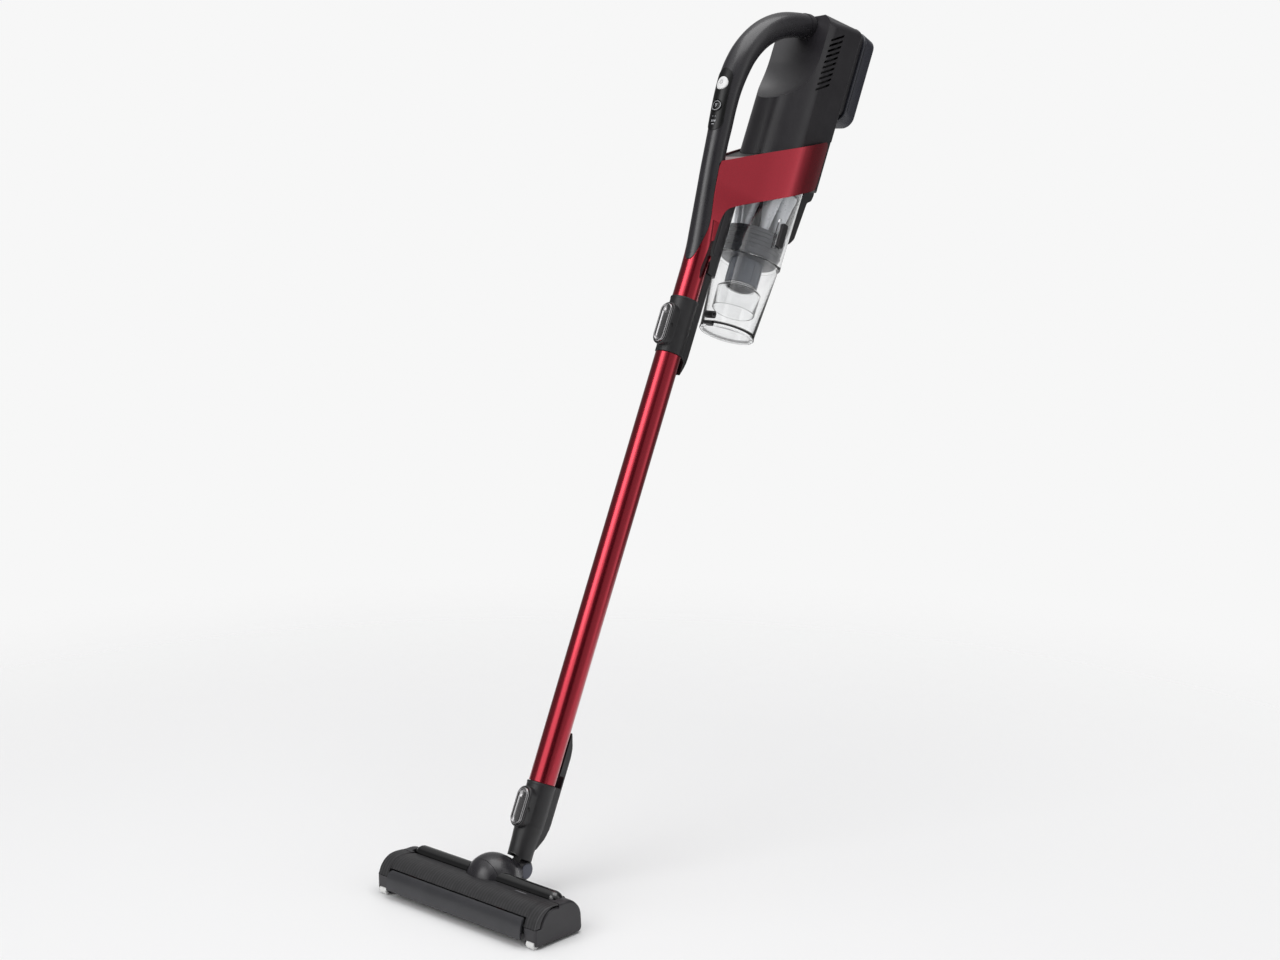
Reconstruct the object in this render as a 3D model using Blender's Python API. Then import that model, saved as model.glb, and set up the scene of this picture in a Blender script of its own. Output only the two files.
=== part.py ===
"""Cordless stick vacuum cleaner, built from named sub-parts.

Lengths below are millimetres and are scaled to metres when a mesh is made.
Two working frames are used:
  stick frame  (x, b, t): x across, b behind the pipe axis, t up along the pipe
  head frame   (x, y, z): z up from the floor, y = 0 at the neck hinge
The finished model is shifted so that the middle of the hand grip is the origin.
"""
import bpy, bmesh
from math import sin, cos, pi, radians, sqrt, atan2
from mathutils import Vector, Matrix

# ---------------------------------------------------------------- dimensions
MM = 0.001
LEAN = 24.8                    # lean of the stick from vertical, degrees
PIPE_R = 13.7                  # outside radius of the pipe
PIPE_AHEAD = 5.2               # pipe axis passes this far in front of the hinge
HINGE_Z = 27.5                 # height of the neck hinge over the floor
GAP = 0.3                      # clearance between neighbouring pieces
GRIP_T, GRIP_B = 893.0, -11.0  # middle of the hand grip on the handle path

# handle tube: offset b, height t, radius
HANDLE = [(0, 641, 13.7), (-1.2, 663, 13.7), (-4.7, 684, 13.5), (-9, 705, 12.9), (-13.1, 726, 12.4),
          (-17.1, 747, 12.1), (-20.8, 772, 12.0), (-23, 792, 12.5), (-25.5, 812, 12.9), (-26.8, 832, 13.5),
          (-25.6, 854, 14.4), (-20, 877, 14.6), (-8.8, 899.3, 14.6), (6.4, 918, 14.5), (25.7, 933.5,
                                                                                        14.2), (48, 945.5,
                                                                                                13.6),
          (68, 953.5, 13.5)]
# line on the side where the dark handle gives way to the red arm
SEAM = [(-13.6, 648), (-12.3, 656), (-11.2, 669), (-10.2, 690), (-15.8, 719), (-21, 752.5)]
# red arm behind the handle: height t, rear offset b, rear half width
ARM = [(607, 13.7, 0), (632, 13.7, 0), (650, 8, 12), (672, 2.2, 14.4), (694, 1.2, 15.6), (704, 1.4, 17.4),
       (716, 4, 19.4)]
# outline of the red band seen along the pipe: offset b, half width
BAND = [(-21, 11.8), (0, 18.5), (20, 25), (40, 31.5), (60, 37.2), (72, 39.6), (85, 40.2), (98, 39.2),
        (106, 38.0), (114, 36.0)]
BAND_T = 2.2                   # wall of the band
BAND_RISE = 0.66               # slope of the band's upper edge
CLIP_PIVOT = (135.0, 786.0)    # cup clip axis: b, t
LID_PIVOT = (45.0, 602.0)      # cup lid axis: b, t
FLAP_PIVOT = (-86.6, 27.2)     # front flap axis: y, z
PIN_BEHIND = 2.4               # rocker pin sits this far behind the front of its housing
REAR_WHEEL = (62.0, -34.0, 3.9)   # rear rollers: x, y, z
MOTOR_Y, MOTOR_Z = -40.5, 17.6    # brush motor axis
CUP_B, CUP_TOP = 80.0, 774.0   # dust cup axis and top
HOUSE_B, HOUSE_R = 72.5, 36.5  # round front of the motor housing
HOUSE_BACK, HOUSE_BACK_W = 125.5, 32.0   # flat back of the housing and its half width
MOTOR_B = 92.0
BATT = (129.5, 157.5, 26.0, 874.0, 982.0)   # b low, b high, half width, t low, t high
COUPLER_LO, COUPLER_HI = 546.0, 606.7
NECK_TOP = 88.0
HEAD_HALF = 111.0
DOME_Y, DOME_R = -38.0, 26.5
ROLLER_Y, ROLLER_Z = -70.5, 17.5
WHEEL_Y, WHEEL_Z = -86.6, 4.5   # front rollers
UP_POD, LO_POD = (573.5, -21.4, 23.0), (61.0, -21.0, 20.8)   # rocker housings: t, front b, half length

COLOURS = {
    "charcoal": ((0.045, 0.044, 0.047, 1), 0.0, 0.5, 0.0),
    "black": ((0.02, 0.02, 0.022, 1), 0.0, 0.45, 0.0),
    "gloss_black": ((0.008, 0.008, 0.009, 1), 0.0, 0.12, 0.0),
    "red": ((0.42, 0.012, 0.03, 1), 0.6, 0.25, 0.0),
    "clear": ((0.9, 0.92, 0.93, 0.3), 0.0, 0.05, 0.9),
    "silver": ((0.45, 0.47, 0.5, 1), 0.5, 0.35, 0.0),
    "grey": ((0.13, 0.14, 0.155, 1), 0.0, 0.4, 0.0),
    "white": ((0.8, 0.8, 0.8, 1), 0.0, 0.35, 0.0),
    "chrome": ((0.35, 0.35, 0.37, 1), 1.0, 0.15, 0.0),
    "steel": ((0.55, 0.56, 0.58, 1), 1.0, 0.3, 0.0),
    "slate": ((0.05, 0.055, 0.075, 1), 0.0, 0.35, 0.0),
    "rubber": ((0.03, 0.03, 0.032, 1), 0.0, 0.8, 0.0),
    "green": ((0.03, 0.15, 0.06, 1), 0.0, 0.5, 0.0),
    "bristle": ((0.2, 0.02, 0.03, 1), 0.0, 0.9, 0.0),
    "copper": ((0.6, 0.25, 0.12, 1), 1.0, 0.3, 0.0),
    "foam": ((0.55, 0.56, 0.55, 1), 0.0, 0.9, 0.0),
}

# ------------------------------------------------------------------ scene
for old in list(bpy.data.objects):
    bpy.data.objects.remove(old, do_unlink=True)


def make_material(name):
    colour, metal, rough, trans = COLOURS[name]
    mat = bpy.data.materials.new(name)
    mat.use_nodes = True
    shader = mat.node_tree.nodes["Principled BSDF"]
    shader.inputs["Base Color"].default_value = colour
    shader.inputs["Metallic"].default_value = metal
    shader.inputs["Roughness"].default_value = rough
    shader.inputs["Transmission Weight"].default_value = trans
    shader.inputs["Alpha"].default_value = colour[3]
    return mat


MATS = {name: make_material(name) for name in COLOURS}


def empty(name, parent=None, matrix=None):
    obj = bpy.data.objects.new(name, None)
    bpy.context.scene.collection.objects.link(obj)
    obj.parent = parent
    if matrix:
        obj.matrix_local = matrix
    return obj


lean = radians(LEAN)
stick_dir = Vector((0, sin(lean), cos(lean)))
back_dir = Vector((0, cos(lean), -sin(lean)))
foot = Vector((0, 0, 26.0)) - PIPE_AHEAD * back_dir
grip = foot + GRIP_B * back_dir + GRIP_T * stick_dir

root = empty("vacuum", None, Matrix.Translation(-grip * MM))
stick = empty("stick_frame", root, Matrix.Translation(foot * MM) @ Matrix.Rotation(-lean, 4, "X"))
head = empty("head_frame", root, Matrix.Identity(4))


# ---------------------------------------------------------------- mesh tools
def solid(name, verts, faces, mat=None, parent=None):
    """One closed body from points in millimetres, faces turned outwards."""
    bm = bmesh.new()
    vs = [bm.verts.new(Vector(v) * MM) for v in verts]
    for f in faces:
        bm.faces.new([vs[i] for i in f])
    bmesh.ops.recalc_face_normals(bm, faces=bm.faces)
    if bm.calc_volume(signed=True) < 0:
        bmesh.ops.reverse_faces(bm, faces=bm.faces)
    mesh = bpy.data.meshes.new(name)
    bm.to_mesh(mesh)
    bm.free()
    obj = bpy.data.objects.new(name, mesh)
    bpy.context.scene.collection.objects.link(obj)
    if mat:
        mesh.materials.append(MATS[mat])
    obj.parent = parent
    return obj


def loft(name, rings, mat=None, parent=None, closed=False):
    """Skin through rings of equal length; closed joins the last ring to the first."""
    n, m = len(rings), len(rings[0])
    verts = [p for r in rings for p in r]
    faces = []
    for i in range(n if closed else n - 1):
        j = (i + 1) % n
        faces += [(i * m + k, i * m + (k + 1) % m, j * m + (k + 1) % m, j * m + k) for k in range(m)]
    if not closed:
        faces += [tuple(range(m)), tuple((n - 1) * m + k for k in range(m))]
    return solid(name, verts, faces, mat, parent)


def circle(n=24, start=0.0):
    return [(cos(start + 2 * pi * k / n), sin(start + 2 * pi * k / n)) for k in range(n)]


def lathe_t(name, profile, b, mat=None, parent=None, n=28, x=0.0, tube=False):
    """Turned body about an axis along t; profile is (radius, t)."""
    rings = [[(x + r * c, b + r * s, t) for c, s in circle(n)] for r, t in profile]
    return loft(name, rings, mat, parent, closed=tube)


def lathe_x(name, profile, y, z, mat=None, parent=None, n=20, tube=False):
    """Turned body about an axis along x; profile is (radius, x)."""
    rings = [[(px, y + r * c, z + r * s) for c, s in circle(n)] for r, px in profile]
    return loft(name, rings, mat, parent, closed=tube)


def lathe_y(name, profile, x, z, mat=None, parent=None, n=28, tube=False):
    """Turned body about an axis along y; profile is (radius, y)."""
    rings = [[(x + r * c, py, z + r * s) for c, s in circle(n)] for r, py in profile]
    return loft(name, rings, mat, parent, closed=tube)


def prism_x(name, outline, x0, x1, mat=None, parent=None):
    """Outline of (second, third) coordinates carried from x0 to x1."""
    return loft(name, [[(x, p, q) for p, q in outline] for x in (x0, x1)], mat, parent)


def prism_b(name, outline, b0, b1, mat=None, parent=None):
    """Outline of (first, third) coordinates carried from b0 to b1."""
    return loft(name, [[(p, b, q) for p, q in outline] for b in (b0, b1)], mat, parent)


def prism_t(name, outline, t0, t1, mat=None, parent=None):
    """Outline of (first, second) coordinates carried from t0 to t1."""
    return loft(name, [[(p, q, t) for p, q in outline] for t in (t0, t1)], mat, parent)


def box(name, lo, hi, mat=None, parent=None):
    outline = [(lo[0], lo[1]), (hi[0], lo[1]), (hi[0], hi[1]), (lo[0], hi[1])]
    return prism_t(name, outline, lo[2], hi[2], mat, parent)


def stadium(cx, cy, half_w, half_h, n=10):
    """Round-ended outline, taller than wide."""
    pts = []
    for k in range(n + 1):
        a = pi * k / n
        pts.append((cx + half_w * cos(a), cy + half_h - half_w + half_w * sin(a)))
    for k in range(n + 1):
        a = pi + pi * k / n
        pts.append((cx + half_w * cos(a), cy - half_h + half_w + half_w * sin(a)))
    return pts


def rounded(x0, y0, x1, y1, r, n=4):
    """Rectangle outline with round corners."""
    pts = []
    corners = ((x1 - r, y1 - r, 0), (x0 + r, y1 - r, 90), (x0 + r, y0 + r, 180), (x1 - r, y0 + r, 270))
    for cx, cy, a0 in corners:
        for k in range(n + 1):
            a = radians(a0 + 90 * k / n)
            pts.append((cx + r * cos(a), cy + r * sin(a)))
    return pts


def boolean(obj, operation, *others):
    """Apply one exact Boolean per helper, then drop the helpers."""
    for other in others:
        mod = obj.modifiers.new("cut", "BOOLEAN")
        mod.operation, mod.solver, mod.object = operation, "EXACT", other
        parent, other.parent, obj_parent = other.parent, None, obj.parent
        obj.parent = None
        bpy.context.view_layer.update()
        graph = bpy.context.evaluated_depsgraph_get()
        mesh = bpy.data.meshes.new_from_object(obj.evaluated_get(graph))
        obj.modifiers.clear()
        old, obj.data = obj.data, mesh
        mesh.name = old.name
        obj.parent = obj_parent
        bpy.data.objects.remove(other, do_unlink=True)
    bm = bmesh.new()
    bm.from_mesh(obj.data)
    bmesh.ops.remove_doubles(bm, verts=bm.verts, dist=2e-6)
    bmesh.ops.dissolve_degenerate(bm, edges=bm.edges, dist=2e-6)
    bmesh.ops.dissolve_limit(bm, angle_limit=radians(0.6), verts=bm.verts, edges=bm.edges)
    bmesh.ops.triangulate(bm, faces=bm.faces)
    bm.to_mesh(obj.data)
    bm.free()
    return obj


def cut(obj, *others):
    return boolean(obj, "DIFFERENCE", *others)


def join(obj, *others):
    return boolean(obj, "UNION", *others)


def common(obj, *others):
    return boolean(obj, "INTERSECT", *others)


def interpolate(table, key, column, at):
    """Straight-line lookup in a table sorted by one column."""
    rows = sorted(table, key=lambda r: r[key])
    if at <= rows[0][key]:
        return rows[0][column]
    for a, b in zip(rows, rows[1:]):
        if at <= b[key]:
            f = (at - a[key]) / (b[key] - a[key])
            return a[column] + f * (b[column] - a[column])
    return rows[-1][column]


def band_top(b):
    return 754 + BAND_RISE * (b + 21) - 0.00025 * (b + 21) ** 2


def band_bottom(b):
    return 719.2 + 0.62 * (b - 13.6)


def band_outline(inset, b_front, b_back, back_w=None):
    """Closed plan outline (x, b) of the band moved inwards."""
    pts = [(max(w - inset, 1), b) for b, w in BAND if b_front < b < b_back]
    w0 = interpolate(BAND, 0, 1, b_front) - inset
    w1 = (interpolate(BAND, 0, 1, b_back) - inset) if back_w is None else back_w
    right = [(w0, b_front)] + pts + [(w1, b_back)]
    return right + [(-x, b) for x, b in reversed(right)]


# ============================================================ HAND UNIT
# handle tube
def handle_rings(grow=0.0, rows=HANDLE, n=24):
    rings = []
    for i, (b, t, r) in enumerate(rows):
        b0, t0 = rows[max(i - 1, 0)][:2]
        b1, t1 = rows[min(i + 1, len(rows) - 1)][:2]
        d = Vector((0, b1 - b0, t1 - t0)).normalized()
        if i == 0:
            d = Vector((0, 0, 1))
        side = Vector((0, d.z, -d.y))
        rings.append([Vector((0, b, t)) + (r + grow) * (c * Vector((1, 0, 0)) + s * side) for c,
                      s in circle(n)])
    return rings


handle = loft("handle_tube", handle_rings(), "charcoal", stick)
behind = [(-16.5, 600), (-16.5, 644)] + [(b, t) for b, t in SEAM[1:]] + [(3.5, 768), (60, 768), (60, 600)]
cut(handle, prism_x("c", behind, -60, 60))

# pockets for the two buttons in the front of the handle
BUTTONS = {"power_button": (834.0, 7.4), "mode_button": (809.0, 6.4)}


def front_of_handle(t):
    return interpolate(HANDLE, 1, 0, t) - interpolate(HANDLE, 1, 2, t)


for name, (t, r) in BUTTONS.items():
    rings = [[((r + GAP) * c, b, t + (r + GAP) * s) for c, s in circle(20)] for b in (-70,
                                                                                      front_of_handle(t) + 6)]
    cut(handle, loft("c", rings))

# control panel: thin shell over the front of the handle
panel = loft("control_panel", handle_rings(0.8, HANDLE[5:12]), "gloss_black", stick)
cut(panel, loft("c", handle_rings(0.05, HANDLE[4:13])))
panel_cut = loft("c", [[(x, b, t) for x, t in stadium(0, 817, 9.6, 34, 12)] for b in (-80, -26.1)])
common(panel, panel_cut)
for name, (t, r) in BUTTONS.items():
    rings = [[((r + GAP) * c, b, t + (r + GAP) * s) for c, s in circle(20)] for b in (-70, -20)]
    cut(panel, loft("c", rings))
for name, (t, r) in BUTTONS.items():
    f = front_of_handle(t)
    steps = ((f - 1.6, r - 0.6), (f - 1.0, r), (f + 4.5, r))
    rings = [[(rr * c, b, t + rr * s) for c, s in circle(20)] for b, rr in steps]
    loft(name, rings, "white" if name == "power_button" else "gloss_black", stick)
light_t = 793.0
light_b = front_of_handle(light_t)
for target in (handle, panel):
    cut(target, prism_b("c", stadium(0, light_t, 1.7, 4.2, 4), light_b - 20, light_b + 2.5))
prism_b("indicator_light", stadium(0, light_t, 1.5, 4.0, 4), light_b - 1.0, light_b + 2.2, "white", stick)

# red frame: pipe end, arm and side band in one piece
frame = lathe_t("red_frame", [(PIPE_R, 607), (PIPE_R, 655)], 0, "red", stick, n=32)
arm_rings = []
for t in (640, 650, 662, 674, 686, 698, 710, 722, 735, 748, 756):
    bc = interpolate(HANDLE, 1, 0, t)
    r = interpolate(HANDLE, 1, 2, t)
    rear = interpolate(ARM, 0, 1, t)
    w = interpolate(ARM, 0, 2, t)
    if t < 655:
        w = min(max(w, 9), sqrt(max((PIPE_R - 0.1) ** 2 - rear ** 2, 1)))
    ring = [(r * sin(a), bc - r * cos(a)) for a in [radians(-100 + 20 * k) for k in range(11)]]
    ring = [(-w, rear)] + ring + [(w, rear)]
    arm_rings.append([(x, b, t) for x, b in ring])
arm = loft("arm", arm_rings)
join(frame, arm)
plan = prism_t("band", band_outline(0, -21, 114), 600, 900)
cut(plan, prism_t("c", band_outline(BAND_T, 4.5, 130), 590, 910))
top = [(b, band_top(b)) for b in range(-30, 141, 10)] + [(140, 950), (-30, 950)]
low = [(60, 500), (0.9, 500), (0.9, 694), (1.2, 703), (4.2, 711.5), (13.6, 719.2), (140, band_bottom(140)),
       (140, 500)]
cut(plan, prism_x("c", top, -60, 60), prism_x("c", low, -60, 60))
cut(plan, prism_x("c", [(-40, 500), (-40, 694), (2.5, 694), (2.5, 500)], -60, 60))
join(frame, plan)
front = [(-60, 560), (-60, 800), (-21 - 0.3, 800), (-21 + GAP, 752.5)] + \
        [(b + GAP, t) for b, t in reversed(SEAM[1:-1])] + [(-13.6 + GAP, 647.5), (-17.0, 643.5), (-17.0, 560)]
cut(frame, prism_x("c", front, -60, 60))
cut(frame, prism_x("c", [(b, band_top(b)) for b in range(-30, 141, 10)] + [(140, 950), (-30, 950)], -60, 60))
cut(frame, loft("c", handle_rings(GAP, [(-17.1, 747, 12.1), (-20.8, 772, 12.0), (-23, 792, 12.5)])))
# air way through the pipe end and arm, and pockets on both sides
cut(frame, lathe_t("c", [(10.6, 600), (10.6, 690)], 0, n=24))
for s in (-1, 1):
    pocket = [(-2, 631), (3.5, 638), (5.5, 668), (2, 673), (-3, 668), (-4.5, 640)]
    cut(frame, prism_x("c", pocket, s * 12.2, s * 30))

# plug end of the pipe that the wand's coupler fits over
lathe_t("pipe_plug", [(11.6, 572), (11.6, 606.6), (9.2, 606.6), (9.2, 572)], 0, "black", stick, n=28,
        tube=True)

# black spine behind the arm
spine = prism_t("spine", [(-11, 3), (-12.5, 8), (-12.5, 21), (-9, 26.5), (9, 26.5), (12.5, 21), (12.5, 8),
                          (11, 3)], 641, 742, "black", stick)
cut(spine, prism_x("c", [(b, band_bottom(max(b, 8)) + 2.0) for b in (-20, 8, 60)] + [(60, 800), (-20, 800)],
                   -60, 60))
cut(spine, lathe_t("c", [(PIPE_R + GAP, 600), (PIPE_R + GAP, 657)], 0, n=32))
cut(spine, prism_x("c", [(-20, 600), (-20, 800), (5.2, 800), (5.2, 703), (3, 696), (3.4, 672), (9, 650),
                         (9, 600)], -60, 60))
# air duct up the spine
cut(spine, box("c", (-8, 15, 660), (8, 23, 800)))

# dark core under the motor
core = prism_t("body_core", band_outline(BAND_T + 0.3, 6.0, 113.5), 700, 900, "charcoal", stick)
rear_block = prism_t("rb", rounded(-31.5, 100, 31.5, 125.2, 5), 782, 860)
join(core, rear_block)
cut(core, prism_x("c", [(b, band_top(b) - 2.4) for b in range(-30, 151, 10)] + [(150, 980), (-30, 980)],
                  -60, 60))
cut(core, prism_x("c", [(-20, band_bottom(8) + 2.4), (8, band_bottom(8) + 2.4), (44, band_bottom(44) + 2.4),
                        (44, 600), (-20, 600)], -60, 60))
cut(core, prism_x("c", [(43, 600), (43, 745), (118, band_bottom(118) - 1), (160, 781), (160, 600)], -60, 60))
cut(core, lathe_t("c", [(38.4, 600), (38.4, CUP_TOP + 0.4)], CUP_B, n=40))
cut(core, lathe_t("c", [(24, 700), (24, 900)], CUP_B, n=32))
lathe_t("pre_motor_filter", [(23.6, 777), (23.6, 792), (8, 792), (8, 777)], CUP_B, "foam", stick, n=28,
        tube=True)


# motor housing: round front, flatter sides, open below
def housing_plan(inset):
    pts = []
    for k in range(15):
        a = radians(-90 + 180 * k / 14)
        pts.append(((HOUSE_R - inset) * sin(a), HOUSE_B - (HOUSE_R - inset) * cos(a)))
    w, back = HOUSE_BACK_W - inset, HOUSE_BACK - inset
    pts += [(w, back - 5), (w - 5, back), (-w + 5, back), (-w, back - 5)]
    return pts


def roof(x, b):
    """Crowned top of the housing, rising to the back."""
    return 968.5 + 0.25 * max(b - 62, 0) - 9 * (x / 30) ** 2


house_rings = [[(x, b, 770) for x, b in housing_plan(0)]]
for inset, drop in ((0, 5), (0.5, 2.2), (1.8, 0.6), (3.8, 0)):
    house_rings.append([(x, b, roof(x, b) - drop) for x, b in housing_plan(inset)])
house = loft("motor_housing", house_rings, "charcoal", stick)
cut(house, prism_x("c", [(b, band_top(b) - 2.0) for b in range(-30, 151, 10)] + [(150, 700), (-30, 700)],
                   -60, 60))
cavity = loft("c", [[(x, b, t) for x, b in housing_plan(2.6)] for t in (760, 953)])
scoop_rings = []
for t in (851.9, 853, 857, 865, 875, 890, 905, 920, 990):
    k = sqrt(max(1 - ((915 - min(t, 915)) / 63.2) ** 2, 0.0004))
    scoop_rings.append([(68 * k * c, 25 + 42 * k * s, t) for c, s in circle(40)])


def scoop(grow):
    rings = []
    for ring in scoop_rings:
        t = ring[0][2]
        rings.append([(x + grow * x / 68, b + grow * (b - 25) / 42, t - (grow if t < 900 else 0)) for x, b,
                      t in ring])
    return loft("c", rings)


cut(cavity, scoop(2.4))
cut(cavity, prism_x("c", [(0, 850), (61, 850), (63.5, 893), (80, 925), (100, 990), (0, 990)], -60, 60))
cut(house, scoop(0.0))
cut(house, cavity)
# socket for the end of the handle
cut(house, loft("c", handle_rings(0.15)[-4:]))
# vent slots on both sides
for s in (-1, 1):
    for k in range(10):
        t = 881.2 + 6.55 * k
        b = 74.5 + 0.2 * k - 4.5
        quad = [(b, t), (b + 18, t + 12), (b + 18, t + 9.4), (b, t - 2.6)]
        cut(house, prism_x("c", quad, s * 27, s * 45))

lathe_t("motor_can", [(21.8, 844), (21.8, 892), (7, 892), (7, 889), (19.8, 889), (19.8, 844)], MOTOR_B,
        "steel", stick, n=28, tube=True)
lathe_t("motor_fan", [(4, 846), (19, 846), (19, 849), (9, 858), (12.5, 860), (12.5, 882), (2.5, 882),
                      (2.5, 896), (1, 896)], MOTOR_B, "copper", stick, n=24)
box("control_board", (-22, 115.5, 870), (22, 117.1, 945), "green", stick)

# battery holder, battery
prism_t("battery_holder", rounded(-24, HOUSE_BACK + GAP, 24, BATT[0] - GAP, 1.2, 2), 880, 974, "charcoal",
        stick)
b0, b1, bw, t0, t1 = BATT
case = prism_b("battery_case", rounded(-bw, t0, bw, t1, 11, 5), b0, b1, "slate", stick)
cut(case, box("c", (-21, b0 - 5, t0 + 10), (21, b1 - 2.5, t1 - 10)))
box("battery_cells", (-20.6, b0 + 1, t0 + 10.4), (20.6, b1 - 2.9, t1 - 10.4), "steel", stick)
key_t = t0 + 16
cut(case, prism_b("c", stadium(0, key_t, 5.3, 7.3, 5), b1 - 1.9, b1 + 5))
prism_b("battery_release", stadium(0, key_t, 5, 7, 5), b1 - 1.2, b1 - 0.3, "black", stick)

# clip that holds the dust cup, at the back
clip_side = [(119.5, 775), (127.8, 778), (128.6, 790), (133, 795), (143, 795), (146.5, 790), (145, 781),
             (138.5, 776), (134.5, 731), (128, 722), (119.5, 725), (119.5, 740)]
prism_x("cup_clip", clip_side, -10, 10, "black", stick)

# ============================================================ DUST CUP
lathe_t("cup_sleeve", [(37.4, CUP_TOP), (36.2, 681.2), (34.3, 681.2), (35.4, CUP_TOP)], CUP_B, "clear",
        stick, n=36, tube=True)
lathe_t("cup_bowl", [(35.2, 680.9), (34.7, 678), (30.0, 603.3), (28.3, 603.3), (33.0, 677), (33.0, 680.9)],
        CUP_B, "clear", stick, n=36, tube=True)
ring = lathe_t("separator_ring", [(33.6, 713), (32.4, 684), (18, 681), (18, 654.3), (15.5, 654.3),
                                  (15.5, 684), (29, 687), (31, 713)], CUP_B, "grey", stick, n=32, tube=True)
lathe_t("cup_skirt", [(18, 654), (24.5, 648.5), (24.0, 626), (22.6, 626), (23.1, 647.5), (15.6, 652.4),
                      (15.6, 654)], CUP_B, "clear", stick, n=32, tube=True)
cones = lathe_t("cyclone_plate", [(34.2, 768), (34.6, 773.6), (15, 773.6), (15, 768)], CUP_B, "silver",
                stick, n=32, tube=True)
for k in range(6):
    a = radians(60 * k + 30)
    x, b = 21.0 * cos(a), CUP_B + 21.0 * sin(a)
    join(cones, lathe_t("cone", [(4.5, 714.5), (9.6, 757), (10.0, 770)], b, x=x, n=14))
cap = lathe_t("cone_core", [(5.5, 714.5), (12, 740), (17, 770)], CUP_B, n=14)
join(cones, cap)
lathe_t("lid_gasket", [(29.9, 603.0), (29.9, 600.9), (27.6, 600.9), (27.6, 603.0)], CUP_B, "rubber", stick,
        n=32, tube=True)
cup_lid = lathe_t("cup_lid", [(0.8, 599), (26, 599), (26, 600.6), (30.3, 600.6), (30.3, 598), (29.4, 597),
                              (0.8, 597)],
                  CUP_B, "clear", stick, n=32)
hook = box("lid_hinge", (-6, 41.5, 604.5), (6, 49.2, 612), "black", stick)
cut(hook, lathe_t("c", [(30.8, 590), (30.8, 620)], CUP_B, n=36))
join(cup_lid, box("ear", (-4, 42.8, 597.2), (4, 52, 600.4)))
bar = prism_x("side_latch", [(72, 697.5), (80, 697.5), (81, 700), (81, 722), (79, 725), (72, 725),
                             (71, 722), (71, 700)], 36.9, 41.5, "black", stick)
cut(bar, lathe_t("c", [(37.0, 690), (37.6, 730)], CUP_B, n=48))

# ============================================================ WAND
lathe_t("wand_pipe", [(PIPE_R, NECK_TOP + 0.4), (PIPE_R, COUPLER_LO - GAP), (12.3, COUPLER_LO - GAP),
                      (12.3, NECK_TOP + 0.4)], 0, "red", stick, n=32, tube=True)


def coupler(name, t_lo, t_hi, pod_t, pod_b, half, fin_side, bore_r):
    """Black sleeve with a front pod for the release rocker and a rear fin."""
    body = lathe_t(name, [(14.6, t_lo), (14.6, t_hi)], 0, "black", stick, n=32)
    join(body, prism_b("pod", rounded(-9.6, pod_t - half, 9.6, pod_t + half, 8, 4), pod_b, 0))
    join(body, prism_x("fin", fin_side, -10.5, 10.5))
    cut(body, lathe_t("c", [(bore_r, t_lo - 60), (bore_r, t_hi + 60)], 0, n=28))
    # trough for the rocker, and its hinge pin
    cut(body, prism_b("c", stadium(0, pod_t, 7.6, half - 1.5), pod_b - 5, pod_b + 6.2))
    cut(body, lathe_x("c", [(1.25, -20), (1.25, 20)], pod_b + PIN_BEHIND, pod_t, n=12))
    lathe_x(name + "_release_pin", [(1.15, -8.9), (1.15, 8.9)], pod_b + PIN_BEHIND, pod_t, "steel", stick,
            n=12)
    return body


upper = coupler("upper_coupler", COUPLER_LO, COUPLER_HI, *UP_POD,
                [(10, 560), (10, 640.4), (22.6, 640.4), (23.6, 610), (23, 575), (21.3, 551), (15.5, 532),
                 (14.1, 527), (13.95, 529), (13.95, 544), (10, 548)], 12.0)
cut(upper, lathe_t("c", [(PIPE_R + GAP, COUPLER_HI), (PIPE_R + GAP, 650)], 0, n=32))
cut(upper, lathe_t("c", [(PIPE_R + 0.05, 500), (PIPE_R + 0.05, COUPLER_LO)], 0, n=32))
box("wand_plug", (-6, 17.0, 640.5), (6, 22.0, 655.5), "black", stick)
cut(spine, box("c", (-6.5, 16.5, 640), (6.5, 22.5, 660.5)))


def rocker(name, pod_t, pod_b, half):
    """Stadium button that tips about a pin across its middle."""
    outline = stadium(0, pod_t, 7.2, half - 2.1)
    rings = []
    for b, k in ((pod_b - 2.6, 0.86), (pod_b - 1.8, 0.97), (pod_b + 1.6, 1.0), (pod_b + 3.6, 0.9)):
        rings.append([(x * k, b + 0.5 * ((t - pod_t) / half) ** 2,
                       pod_t + (t - pod_t) * (1 - (1 - k) * 0.3)) for x, t in outline])
    button = loft(name, rings, "chrome", stick)
    return cut(button, lathe_x("c", [(1.3, -20), (1.3, 20)], pod_b + PIN_BEHIND, pod_t, n=12))


rocker("upper_release", *UP_POD)
prism_x("lower_fin", [(13.95, 100), (13.95, 143), (15, 141), (20.5, 131), (24.5, 117), (25.2, 100),
                      (25.2, 77), (22.2, 77), (20.8, 88), (20.8, 100)], -8, 8, "black", stick)

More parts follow.
